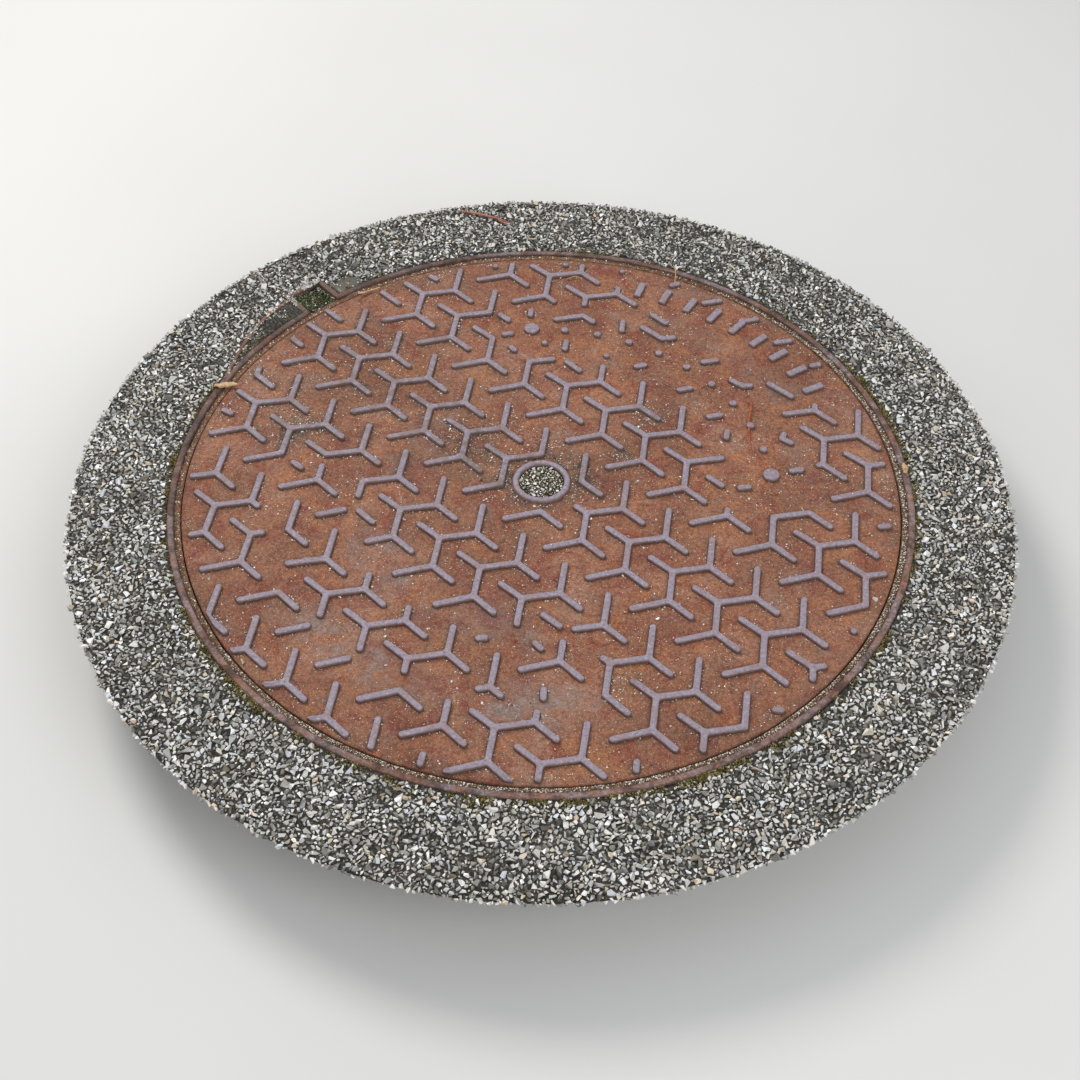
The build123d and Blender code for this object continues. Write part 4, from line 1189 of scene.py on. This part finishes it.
def road_binder():
    n = 900
    degs = np.sort(np.r_[np.arange(n) * 0.4, [POCKET_DEG - POCKET_HALF_IN, POCKET_DEG + POCKET_HALF_IN, POCKET_DEG - POCKET_HALF_OUT, POCKET_DEG + POCKET_HALF_OUT]])
    n = len(degs)
    tt = np.linspace(0, 1, 22)
    prof = [("t", t, 85.5) for t in tt] + [("r", 425.6, 84.4), ("r", 424.9, 82.4), ("r", 420.5, 77.0), ("r", 414.8, 70.0), ("r", 408.4, 62.0), ("r", 401.9, 54.0),
                                          ("r", 397.0, 48.0), ("r", 396.2, COURSE_Z), ("r", 374.0, COURSE_Z), ("i", 0, COURSE_Z), ("i", 0, 66.0)]
    edge = inner_edge(degs)
    V = np.zeros((len(prof), n, 3))
    for k, (kind, v, z) in enumerate(prof):
        r = edge + (423.5 - edge) * v if kind == "t" else (edge if kind == "i" else np.full(n, v))
        x, y = polar(r, degs)
        if kind == "t":
            zz = z + 0.7 * fbm(x, y, 30, 3, 611) * (1 - v) + 0.45 * fbm(x, y, 5, 2, 612) - 0.5 * (v > 0.97)
            zz = np.where(v == 0, np.minimum(zz, 85.6), zz)
        elif kind == "r" and z > COURSE_Z:
            push = 0.9 * fbm(degs * 7.2, 0 * degs + z, 9, 3, 613)
            x, y = polar(r + push - 0.8, degs)
            zz = z + 0 * r
        else:
            zz = z + 0 * r
        V[k] = np.stack([x, y, zz], -1)
    m = len(prof)
    I, J = np.meshgrid(np.arange(m), np.arange(n), indexing="ij")
    I1, J1 = (I + 1) % m, (J + 1) % n
    Q = np.stack([I * n + J, I * n + J1, I1 * n + J1, I1 * n + J], -1).reshape(-1, 4)
    return build("road_binder", V.reshape(-1, 3), [Q], M_BINDER, FRAME, fix_normals=True)


road = road_binder()
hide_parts("asphalt_surround")

ROAD = hulls(60, 621, flat=0.60, points=9, rough=0.42, shave=0.85)


def surface_z(x, y):
    r = np.hypot(x, y)
    v = np.clip((r - RIM_OUT_R) / (423.5 - RIM_OUT_R), 0, 1)
    return 86.0 + 0.7 * fbm(x, y, 30, 3, 611) * (1 - v)


def road_stones():
    rng = np.random.default_rng(631)

    def sample(g, n):
        r = np.sqrt(g.uniform(338.2**2, 426.6**2, n))
        return np.stack(polar(r, g.uniform(0, 360, n)), -1)

    radii = np.r_[rng.uniform(4.4, 6.0, 150), rng.uniform(3.2, 4.4, 1500), rng.uniform(2.3, 3.2, 7400), rng.uniform(1.5, 2.3, 19000), rng.uniform(1.0, 1.5, 16000)]
    D = pack_discs(sample, radii, 632, 0.66, 6)
    x, y, s = D.T
    r, a = np.hypot(x, y), np.degrees(np.arctan2(y, x)) % 360
    ok = (r - s * 0.92 > np.minimum(inner_edge(a), RIM_OUT_R + 31.0) - 0.2) & ~in_wing(x, y) & (smear(x, y) < 0.5)
    u, v = x * PX[0] + y * PX[1], x * PY[0] + y * PY[1]
    ok &= ~((u > 0) & (u < POCKET_END_R - 1.5 + s * 0.5) & (np.abs(v) < POCKET_W / 2 + POCKET_WALL - 1.5 + s * 0.6))
    ok &= r + s * 0.6 < 428.2
    x, y, s, r, a = x[ok], y[ok], s[ok], r[ok], a[ok]
    tone = rng.beta(1.25, 1.6, len(x))
    tone = np.where(rng.random(len(x)) < 0.12, rng.uniform(0.85, 1.0, len(x)), tone)
    tone = np.where(rng.random(len(x)) < 0.12, rng.uniform(0.0, 0.2, len(x)), tone)
    # stone tone also darker towards the back (+y) and a little lighter towards the front
    tone = np.clip(tone + 0.10 * fbm(x, y, 40, 2, 633) - 0.13 * ease(0, 330, y) + 0.04 * ease(0, -330, y), 0, 1)
    warm = rng.random(len(x))
    z = surface_z(x, y) - 0.10 * s + rng.normal(0, 0.32, len(x)) - 0.9 * ease(422, 427, r)
    parts = np.array_split(np.argsort(a), 3)
    print("road stones", len(x))
    for k, ids in enumerate(parts):
        V, F, at = strew(ROAD, np.c_[x, y, z][ids], s[ids] * 1.28, 634 + k, tilt=0.5, attrs={"tone": tone[ids], "warm": warm[ids]})
        print("road_stones", k, len(F))
        build("road_stones_" + "abc"[k], V, [F], M_STONE, FRAME, smooth=False, attrs=at, facets=651 + k)


road_stones()


def side_stones():
    """Cut face of the asphalt: stones set in the sloping side."""
    rng = np.random.default_rng(641)
    L = math.hypot(29.0, 37.0)

    def sample(g, n):
        return np.stack([g.uniform(0, 2 * math.pi * 412, n), g.uniform(1.5, L, n)], -1)

    radii = np.r_[rng.uniform(3.6, 5.4, 420), rng.uniform(2.4, 3.6, 2800), rng.uniform(1.4, 2.4, 8600)]
    D = pack_discs(sample, radii, 642, 0.74, 5)
    s = D[:, 2]
    deg = np.degrees(D[:, 0] / 412.0)
    t = D[:, 1] / L
    r = 425.6 - 29.2 * t
    z = 84.2 - 37.0 * t
    nx = np.array([37.0, -29.2]) / math.hypot(37.0, 29.2)
    sink = -0.12 * s + rng.normal(0, 0.3, len(s)) - 0.7
    x, y = polar(r + nx[0] * sink, deg)
    z = z + nx[1] * sink
    c, q = np.cos(np.radians(deg)), np.sin(np.radians(deg))
    N = np.stack([nx[0] * c, nx[0] * q, np.full(len(c), nx[1])], -1)
    T = np.stack([-q, c, 0 * c], -1)
    B = np.cross(N, T)
    base = np.stack([T, B, N], -1)
    tone = np.clip(rng.beta(1.3, 1.6, len(s)), 0, 1)
    V, F, at = strew(ROAD, np.c_[x, y, z], s, 643, tilt=0.3, base=base, attrs={"tone": tone, "warm": rng.random(len(s))})
    print("side stones", len(s), len(F))
    build("road_edge_stones", V, [F], M_STONE, FRAME, smooth=False, attrs=at, facets=644)


side_stones()


def ring_block(name, profile, mat, node, seed, rough, n=720):
    """A closed cast ring with a rough skin."""
    def wiggle(r, z, d):
        u = d * 6.6
        return rough * (fbm(u, z * 1.3, 14, 4, seed) - 0.55), rough * 0.5 * fbm(u, r, 11, 4, seed + 9) * (z > 0.5)

    V, Q = lathe(profile, np.arange(n) * 360.0 / n, wiggle)
    o = build(name, V, [Q], mat, FRAME, fix_normals=True)
    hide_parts(node)
    return o


slope = lambda r0, z0, r1, z1, k: [(r0 + (r1 - r0) * t, z0 + (z1 - z0) * t) for t in np.linspace(0, 1, k)]
ring_block("haunch_concrete_ring", slope(371.2, 12.6, 396.4, 46.6, 14) + [(394.0, 47.0), (352.0, 47.0), (352.0, 12.4)], M_CONCRETE, "concrete_haunch", 701, 1.1)
ring_block("bed_mortar_ring", [(302.6, 0.2), (320.0, 0.0), (340.0, 0.0), (360.5, 0.2)] + slope(362.0, 1.2, 370.4, 11.6, 5) + [(369.0, 12.4), (304.0, 12.2)] + slope(302.4, 11.0, 302.3, 1.2, 4), M_MORTAR, "mortar_bed", 721, 0.8)


# ------------------------------------------------------------------ dirt in the gap round the cover
def gap_fill():
    n = 1440
    degs = np.arange(n) * 0.25
    prof = [(330.6, 70.0), (326.6, 72.0), (325.75, 78.0), (325.5, 82.0), (325.5, 83.9), (326.0, 84.6), (327.6, 85.0), (329.6, 85.2), (330.9, 85.4), (331.45, 85.3), (331.3, 80.0)]

    def wiggle(r, z, d):
        u = d * 5.73
        h = 0.9 * fbm(u, r * 1.2, 8, 4, 801) - 0.9 * ease(0.1, 0.6, fbm(u, 0 * u, 45, 2, 802))
        return np.where((r < 327) & (z > 75), 0.5 * (0.5 + 0.5 * fbm(u, z, 6, 3, 803)), 0.0), np.where(z > 83, h, 0.0)

    V, Q = lathe(prof, degs, wiggle)
    x, y, z = V.T
    a, r = np.degrees(np.arctan2(y, x)), np.hypot(x, y)
    earth = np.clip(0.35 + 0.8 * (1 - ease(45, 95, np.abs(turned(a, 140)))), 0, 1) * (1 - ease(328.6, 330.6, r))
    build("gap_dirt_ring", V, [Q], M_DUST, FRAME, attrs={"earth": earth}, fix_normals=True)
    rng = np.random.default_rng(811)
    k = 7000
    a = rng.uniform(0, 360, k)
    bright = np.clip(ease(205, 240, a) + (1 - ease(40, 60, a)), 0, 1)
    keep = rng.random(k) < 0.28 + 0.62 * bright
    a, bright = a[keep], bright[keep]
    r = rng.uniform(326.0, 331.2, len(a))
    s = np.clip(rng.lognormal(-0.48, 0.36, len(a)), 0.3, 1.3)
    r = np.maximum(r, 326.3 + s)
    x, y = polar(r, a)
    u = a * 5.73
    z = 84.9 + 0.9 * fbm(u, r * 1.2, 8, 4, 801) - 0.9 * ease(0.1, 0.6, fbm(u, 0 * u, 45, 2, 802)) + 0.35 * s
    tone = np.clip(rng.beta(1.3, 1.5, len(a)) + 0.22 * bright * rng.random(len(a)), 0, 1)
    V, F, at = strew(PEBBLES, np.c_[x, y, z], s, 812, tilt=0.6, attrs={"tone": tone, "warm": rng.random(len(a))})
    build("gap_grit", V, [F], M_GRIT, FRAME, smooth=False, attrs=at, facets=813)


gap_fill()


# ------------------------------------------------------------------ pocket, wing and smear
def grid_patch(name, U, W, place, height, mat, body=FRAME, skirt=3.0):
    """A patch over a grid, with its edge turned down."""
    A, B = np.meshgrid(U, W, indexing="ij")
    XY = place(A, B)
    Z = height(XY[..., 0], XY[..., 1], A, B)
    n, m = A.shape
    V = np.concatenate([XY, Z[..., None]], -1).reshape(-1, 3)
    idx = np.arange(n * m).reshape(n, m)
    Q = np.stack([idx[:-1, :-1], idx[1:, :-1], idx[1:, 1:], idx[:-1, 1:]], -1).reshape(-1, 4)
    rim = np.r_[idx[:, 0], idx[-1, 1:], idx[-2::-1, -1], idx[0, -2:0:-1]]
    low = V[rim].copy()
    low[:, 2] -= skirt
    k = len(V) + np.arange(len(rim))
    side_q = np.stack([rim, np.roll(rim, -1), np.roll(k, -1), k], -1)
    return build(name, np.vstack([V, low]), [Q, side_q, k.tolist()], mat, body, fix_normals=True)


def pocket_place(A, B):
    return A[..., None] * PX + B[..., None] * PY


def pocket_height(x, y, A, B):
    return 80.4 + 1.6 * fbm(x, y, 14, 3, 901) + 0.7 * fbm(x, y, 4, 2, 902) + 1.6 * ease(8, 17, np.abs(B)) + 1.2 * ease(352, 365, A) - 3.0 * ease(336, 330, A)


grid_patch("pocket_soil", np.linspace(331.8, 365.4, 34), np.linspace(-16.9, 16.9, 34), pocket_place, pocket_height, M_SOIL, skirt=6.0)


def wing_place(A, B):
    """A runs along the angle, B from the rim to the wing wall."""
    outer = np.interp(A, [137.4, 139.3, 143.5, 149.6, 156.0], [360.6, 359.9, 355.2, 345.2, 337.6])
    x, y = polar(337.7 + (outer - 337.7) * B, A)
    return np.stack([x, y], -1)


def wing_height(x, y, A, B):
    return 83.4 + 1.2 * fbm(x, y, 14, 3, 911) + 0.8 * fbm(x, y, 4, 2, 912)


grid_patch("wing_soil", np.linspace(136.15, 155.6, 70), np.linspace(0, 1, 14), wing_place, wing_height, M_SOIL)


def smear_place(A, B):
    x, y = polar(B, A + 0.02 * (B - 352))
    return np.stack([x, y], -1)


def smear_height(x, y, A, B):
    s = smear(x, y)
    return 83.4 + 2.9 * np.clip(s * 1.6, 0, 1) + 1.1 * fbm(x, y, 8, 3, 921) + 0.5 * fbm(x, y, 3.0, 2, 922)


grid_patch("mortar_smear", np.linspace(119.6, 128.3, 64), np.linspace(338.0, 371.0, 40), smear_place, smear_height, M_SMEAR)

# ------------------------------------------------------------------ moss
TUFTS = hulls(24, 1001, flat=0.8, points=11, rough=0.62)


def moss():
    rng = np.random.default_rng(1002)
    pts, size = [], []

    def clump(cx, cy, cz, spread, n, lo=0.7, hi=1.9, flat=0.5, band=None):
        x, y = rng.normal(cx, spread, n), rng.normal(cy, spread, n)
        if band:
            r = np.hypot(x, y)
            f = np.clip(r, band[0], band[1]) / r
            x, y = x * f, y * f
        d2 = (x - cx) ** 2 + (y - cy) ** 2
        z = cz + flat * np.exp(-d2 / (2 * spread * spread)) + rng.normal(0, 0.25, n)
        pts.append(np.c_[x, y, z])
        size.append(rng.uniform(lo, hi, n))

    # along the outside of the rim
    for k in range(1500):
        a = rng.uniform(0, 360)
        weight = 0.06 + 0.55 * math.exp(-((float(turned(a, 266)) / 38) ** 4)) + 0.28 * math.exp(-((float(turned(a, 212)) / 20) ** 2)) + 0.3 * math.exp(-((float(turned(a, 5)) / 35) ** 2)) + 0.35 * math.exp(-((float(turned(a, 165)) / 20) ** 2))
        weight *= 0.25 + 1.2 * float(ease(-0.25, 0.3, fbm(a * 5.9, 0.0, 26, 3, 1005)))
        if rng.random() > weight or abs(float(turned(a, POCKET_DEG))) < 5:
            continue
        r = 339.0 + abs(rng.normal(0, 1.3 + 1.8 * math.exp(-((float(turned(a, 252)) / 16) ** 2)) + 1.6 * math.exp(-((float(turned(a, 300)) / 14) ** 2))))
        x, y = ray(r, a)
        clump(x, y, float(surface_z(x, y)) + 0.3, rng.uniform(1.4, 3.4), int(rng.integers(10, 28)), 0.6, 1.6, band=(338.3, 350))
    P, S = np.concatenate(pts), np.concatenate(size)
    ok = np.hypot(P[:, 0], P[:, 1]) > 338.0
    V, F, at = strew(TUFTS, P[ok], S[ok], 1003, tilt=0.8, attrs={"tone": rng.beta(1.6, 1.9, ok.sum())})
    build("rim_moss", V, [F], M_MOSS, FRAME, smooth=True, attrs=at)
    pts.clear()
    size.clear()
    # pocket and wing patch
    for k in range(44):
        u, v = rng.uniform(338, 364), rng.uniform(-15.5, 15.5)
        x, y = in_pocket(u, v)
        z = float(pocket_height(np.array(x), np.array(y), u, np.array(v)))
        if rng.random() < 0.25 + 0.75 * (abs(v) > 6 or u > 354):
            clump(x, y, z + 0.4, rng.uniform(1.2, 2.6), int(rng.integers(10, 26)), 0.6, 1.6, 1.4)
    for k in range(60):
        A, B = rng.uniform(137, 154), rng.uniform(0.05, 0.95)
        x, y = wing_place(np.array(A), np.array(B))
        clump(x, y, float(wing_height(x, y, A, B)) + 0.2, rng.uniform(1.2, 2.8), int(rng.integers(6, 20)), 0.6, 1.5, 0.9)
    P, S = np.concatenate(pts), np.concatenate(size)
    # keep clear of the cover
    ok = np.hypot(P[:, 0], P[:, 1]) > 334.0
    P, S = P[ok], S[ok]
    V, F, at = strew(TUFTS, P, S, 1006, tilt=0.8, attrs={"tone": rng.beta(1.6, 1.9, len(P))})
    build("pocket_moss", V, [F], M_MOSS_DAMP, FRAME, smooth=True, attrs=at)
    # a little moss in the socket, on the cover's side
    pts.clear()
    size.clear()
    for k in range(9):
        x, y = ray(rng.uniform(9, 18.5), rng.uniform(0, 360))
        clump(x, y, 86.2, 1.1, 12, 0.45, 1.0, 0.5)
    P, S = np.concatenate(pts), np.concatenate(size)
    ok = np.hypot(P[:, 0], P[:, 1]) < 19.6
    V, F, at = strew(TUFTS, P[ok], S[ok], 1004, tilt=0.8, attrs={"tone": rng.beta(1.6, 1.9, ok.sum())})
    build("socket_moss", V, [F], M_MOSS_DAMP, COVER, smooth=True, attrs=at)


moss()


def soil_stones():
    rng = np.random.default_rng(1101)
    P, S, T = [], [], []

    def put(x, y, z, size, tone):
        P.append((float(x), float(y), float(z)))
        S.append(size)
        T.append(tone)

    # in the pocket: crumbs, thin over the flat part
    for k in range(420):
        u, v = rng.uniform(333, 365.5), rng.uniform(-16.5, 16.5)
        if u < 352 and -15 < v < 2 and rng.random() < 0.75:
            continue
        x, y = in_pocket(u, v)
        put(x, y, pocket_height(np.array(x), np.array(y), u, np.array(v)) + 0.1, rng.uniform(0.5, 2.0), 0.8 * rng.beta(1.0, 2.4))
    # beside the mortar smear and on it
    for k in range(260):
        x, y = ray(rng.uniform(339, 371), rng.uniform(119.6, 128.2))
        cover = float(smear(np.array(x), np.array(y)))
        if cover > 0.2 and rng.random() < 0.85 - 0.45 * cover:
            size = rng.uniform(0.6, 2.0)
            put(x, y, smear_height(np.array(x), np.array(y), 0, 0) + 0.1 * size, size, rng.beta(1.2, 1.6))
    P = np.array(P)
    V, F, at = strew(PEBBLES, P, np.array(S), 1102, tilt=0.6, attrs={"tone": np.array(T), "warm": rng.random(len(P))})
    build("soil_stones", V, [F], M_GRIT, FRAME, smooth=False, attrs=at, facets=1103)
    # road stones that have strayed over the pocket's end wall, the wing wall and the wing patch
    P, S, T = [], [], []
    for k in range(230):
        u, v = rng.uniform(364.6, 371.5), rng.uniform(-21, 21)
        if rng.random() < 0.25 + 0.75 * (v < 2):
            x, y = in_pocket(u, v)
            size = rng.uniform(0.9, 2.5)
            put(x, y, 86.6 + 0.25 * size, size, rng.beta(1.3, 1.4))
    for k in range(150):
        u, v = rng.uniform(350, 368), rng.uniform(17.2, 22)
        x, y = in_pocket(u, v)
        size = rng.uniform(0.8, 2.0)
        if rng.random() < 0.6:
            put(x, y, 86.6 + 0.2 * size, size, rng.beta(1.2, 2.0))
    line = smooth_line(WING, 40)
    for k in range(230):
        q = line[int(rng.integers(0, len(line)))] + rng.normal(0, 1.9, 2)
        if float(fbm(q[0], q[1], 13, 2, 1106)) > -0.02:
            size = rng.uniform(0.8, 2.3)
            put(q[0], q[1], 86.5 + 0.2 * size, size, rng.beta(1.3, 1.4))
    for k in range(1200):
        A, B = rng.uniform(136.3, 155.6), rng.uniform(0.02, 0.99)
        x, y = wing_place(np.array(A), np.array(B))
        if rng.random() < 0.08 + 0.80 * float(ease(0.45, 0.90, B + 0.5 * float(fbm(x, y, 12, 2, 1107)))):
            size = rng.uniform(0.8, 2.6)
            put(x, y, wing_height(x, y, A, B) + 0.9 + 0.5 * size * rng.random(), size, rng.beta(1.2, 2.2))
    P = np.array(P)
    V, F, at = strew(ROAD, P, np.array(S), 1104, tilt=0.6, attrs={"tone": np.array(T), "warm": rng.random(len(P))})
    build("strayed_stones", V, [F], M_STONE, FRAME, smooth=False, attrs=at, facets=1105)


soil_stones()

# ------------------------------------------------------------------ litter
M_PALE = wood_material("pale_splinter", (222, 190, 150), (150, 108, 74), (0.4, 0.4, 1))
M_TWIG = wood_material("orange_twig", (196, 104, 56), (122, 58, 34))
M_STRAW = wood_material("dry_straw", (206, 172, 118), (150, 112, 70))
M_PINK = wood_material("bark_twig", (192, 128, 108), (120, 72, 58))


def stem(name, points, radii, mat, body, sides=7, flat=1.0, seed=1, n=9):
    """An uneven stalk through the points."""
    P = smooth_line(points, n)
    R = np.interp(np.linspace(0, 1, len(P)), np.linspace(0, 1, len(radii)), radii)
    T = np.gradient(P, axis=0)
    T /= np.linalg.norm(T, axis=1)[:, None]
    up = np.array([0, 0, 1.0])
    S = np.cross(T, up)
    S /= np.maximum(np.linalg.norm(S, axis=1), 1e-6)[:, None]
    W = np.cross(S, T)
    rng = np.random.default_rng(seed)
    V = []
    for k in range(len(P)):
        a = np.arange(sides) * 2 * np.pi / sides + 0.1 * k
        rad = R[k] * (1 + 0.16 * rng.normal(size=sides))
        V.append(P[k] + (np.cos(a) * rad)[:, None] * S[k] + (np.sin(a) * rad * flat)[:, None] * W[k])
    V = np.array(V).reshape(-1, 3)
    m = len(P)
    idx = np.arange(m * sides).reshape(m, sides)
    Q = np.stack([idx[:-1], np.roll(idx[:-1], -1, 1), np.roll(idx[1:], -1, 1), idx[1:]], -1).reshape(-1, 4)
    return build(name, V, [Q, idx[0, ::-1].tolist(), idx[-1].tolist()], mat, body, fix_normals=True)


stem("splinter_pale", [(-189, 261, 90.2), (-182, 265.5, 88.4), (-168, 274, 88.0)], [0.9, 1.5, 0.5], M_PALE, COVER, flat=0.5, seed=2)
stem("twig_orange", [(200.5, 106, 88.0), (198, 92, 87.6), (195.5, 77, 87.1), (194.6, 58, 87.0), (194.8, 38.7, 86.9)], [0.5, 0.9, 1.0, 0.8, 0.4], M_TWIG, COVER, seed=3)
stem("twig_orange_fork", [(198.6, 96, 87.7), (202.5, 99.5, 88.3), (207, 101, 88.8)], [0.5, 0.45, 0.3], M_TWIG, COVER, seed=4)
stem("straw_a", [(132, 315, 88.2), (137.5, 306.5, 89.0), (137.4, 296, 88.3), (136, 286, 87.6)], [0.45, 0.6, 0.6, 0.35], M_STRAW, COVER, seed=5)
stem("straw_b", [(24, 291, 87.0), (33, 293.6, 88.1), (41.5, 292, 87.2)], [0.4, 0.6, 0.35], M_STRAW, COVER, seed=6)
stem("wood_chunk", [(-316, 122.5, 88.8), (-309, 122, 89.4), (-301, 123.4, 89.6), (-294, 123, 89.9)], [1.8, 3.3, 3.2, 1.5], M_PALE, COVER, sides=9, flat=0.55, seed=7, n=5)
stem("wood_chip", [(333.6, 14, 87.9), (334.6, 20, 88.5), (334.2, 27, 87.9)], [1.4, 3.0, 1.2], M_PALE, FRAME, sides=9, flat=0.45, seed=8, n=6)
stem("sliver_white", [(328.6, -79.0, 86.3), (328.4, -84, 86.7), (327.4, -90.5, 86.3)], [0.5, 0.9, 0.4], M_STRAW, FRAME, flat=0.6, seed=9)
stem("twig_pink", [(-93, 405, 88.0), (-70, 397.5, 89.0), (-48, 388.5, 89.4), (-33, 382, 88.2)], [0.8, 1.3, 1.2, 0.5], M_PINK, FRAME, seed=10)
stem("twig_pink_end", [(-52, 391.5, 89.0), (-44, 383, 89.6), (-38, 379, 89.2)], [0.9, 0.9, 0.4], M_PINK, FRAME, seed=11)


def odd_stones():
    rows = [(-245, -208, 3.4, 0.34, 0.96, COVER), (99, -158, 2.2, 1.0, 0.5, COVER), (286, -135, 3.3, 1.0, 0.6, COVER)]
    at = np.array([(x, y, float(plate_z(np.array(x), np.array(y))) + 0.35 * s) for x, y, s, t, w, b in rows])
    V, F, attr = strew(PEBBLES, at, np.array([r[2] for r in rows]), 1201, tilt=0.3, attrs={"tone": [r[3] for r in rows], "warm": [r[4] for r in rows]})
    build("loose_pebbles", V, [F], M_GRIT, COVER, smooth=False, attrs=attr, facets=1202)


odd_stones()

# ------------------------------------------------------------------ floor, light, camera
bm = bmesh.new()
bmesh.ops.create_grid(bm, x_segments=40, y_segments=40, size=14.0)
me = bpy.data.meshes.new("floor")
bm.to_mesh(me)
bm.free()
me.materials.append(floor_material())
floor = bpy.data.objects.new("floor", me)
bpy.context.scene.collection.objects.link(floor)

world = bpy.data.worlds.new("studio")
world.use_nodes = True
world.node_tree.nodes["Background"].inputs["Color"].default_value = (0.95, 0.97, 1.0, 1)
world.node_tree.nodes["Background"].inputs["Strength"].default_value = 0.58
bpy.context.scene.world = world


def area(name, loc, aim, size, watts, color):
    d = bpy.data.lights.new(name, "AREA")
    d.shape = "DISK"
    d.size = size
    d.energy = watts
    d.color = color
    o = bpy.data.objects.new(name, d)
    o.location = loc
    o.rotation_mode = "QUATERNION"
    o.rotation_quaternion = (Vector(aim) - Vector(loc)).to_track_quat("-Z", "Y")
    bpy.context.scene.collection.objects.link(o)
    return o


area("key", (-1.3, 1.5, 2.3), (0, 0, 0.05), 1.2, 47, (1.0, 0.985, 0.96))
area("fill", (1.4, -1.7, 1.8), (0, 0, 0.05), 1.8, 23, (0.95, 0.975, 1.0))

cam = bpy.data.cameras.new("photo_view")
cam.lens = 51.48
cam.sensor_width = 36.0
cam.clip_start, cam.clip_end = 0.05, 30
co = bpy.data.objects.new("photo_view", cam)
e, rl = math.radians(48.3995), math.radians(0.531)
fwd = Vector((0, math.cos(e), -math.sin(e)))
right, up = Vector((1, 0, 0)), Vector((0, math.sin(e), math.cos(e)))
xa = right * math.cos(rl) + up * math.sin(rl)
ya = -right * math.sin(rl) + up * math.cos(rl)
rot = Matrix((xa, ya, -fwd)).transposed().to_4x4()
rot.translation = Vector((-0.0008, -0.9755, 1.1053))
co.matrix_world = rot
bpy.context.scene.collection.objects.link(co)
bpy.context.scene.camera = co
bpy.context.scene.view_settings.view_transform = "Standard"
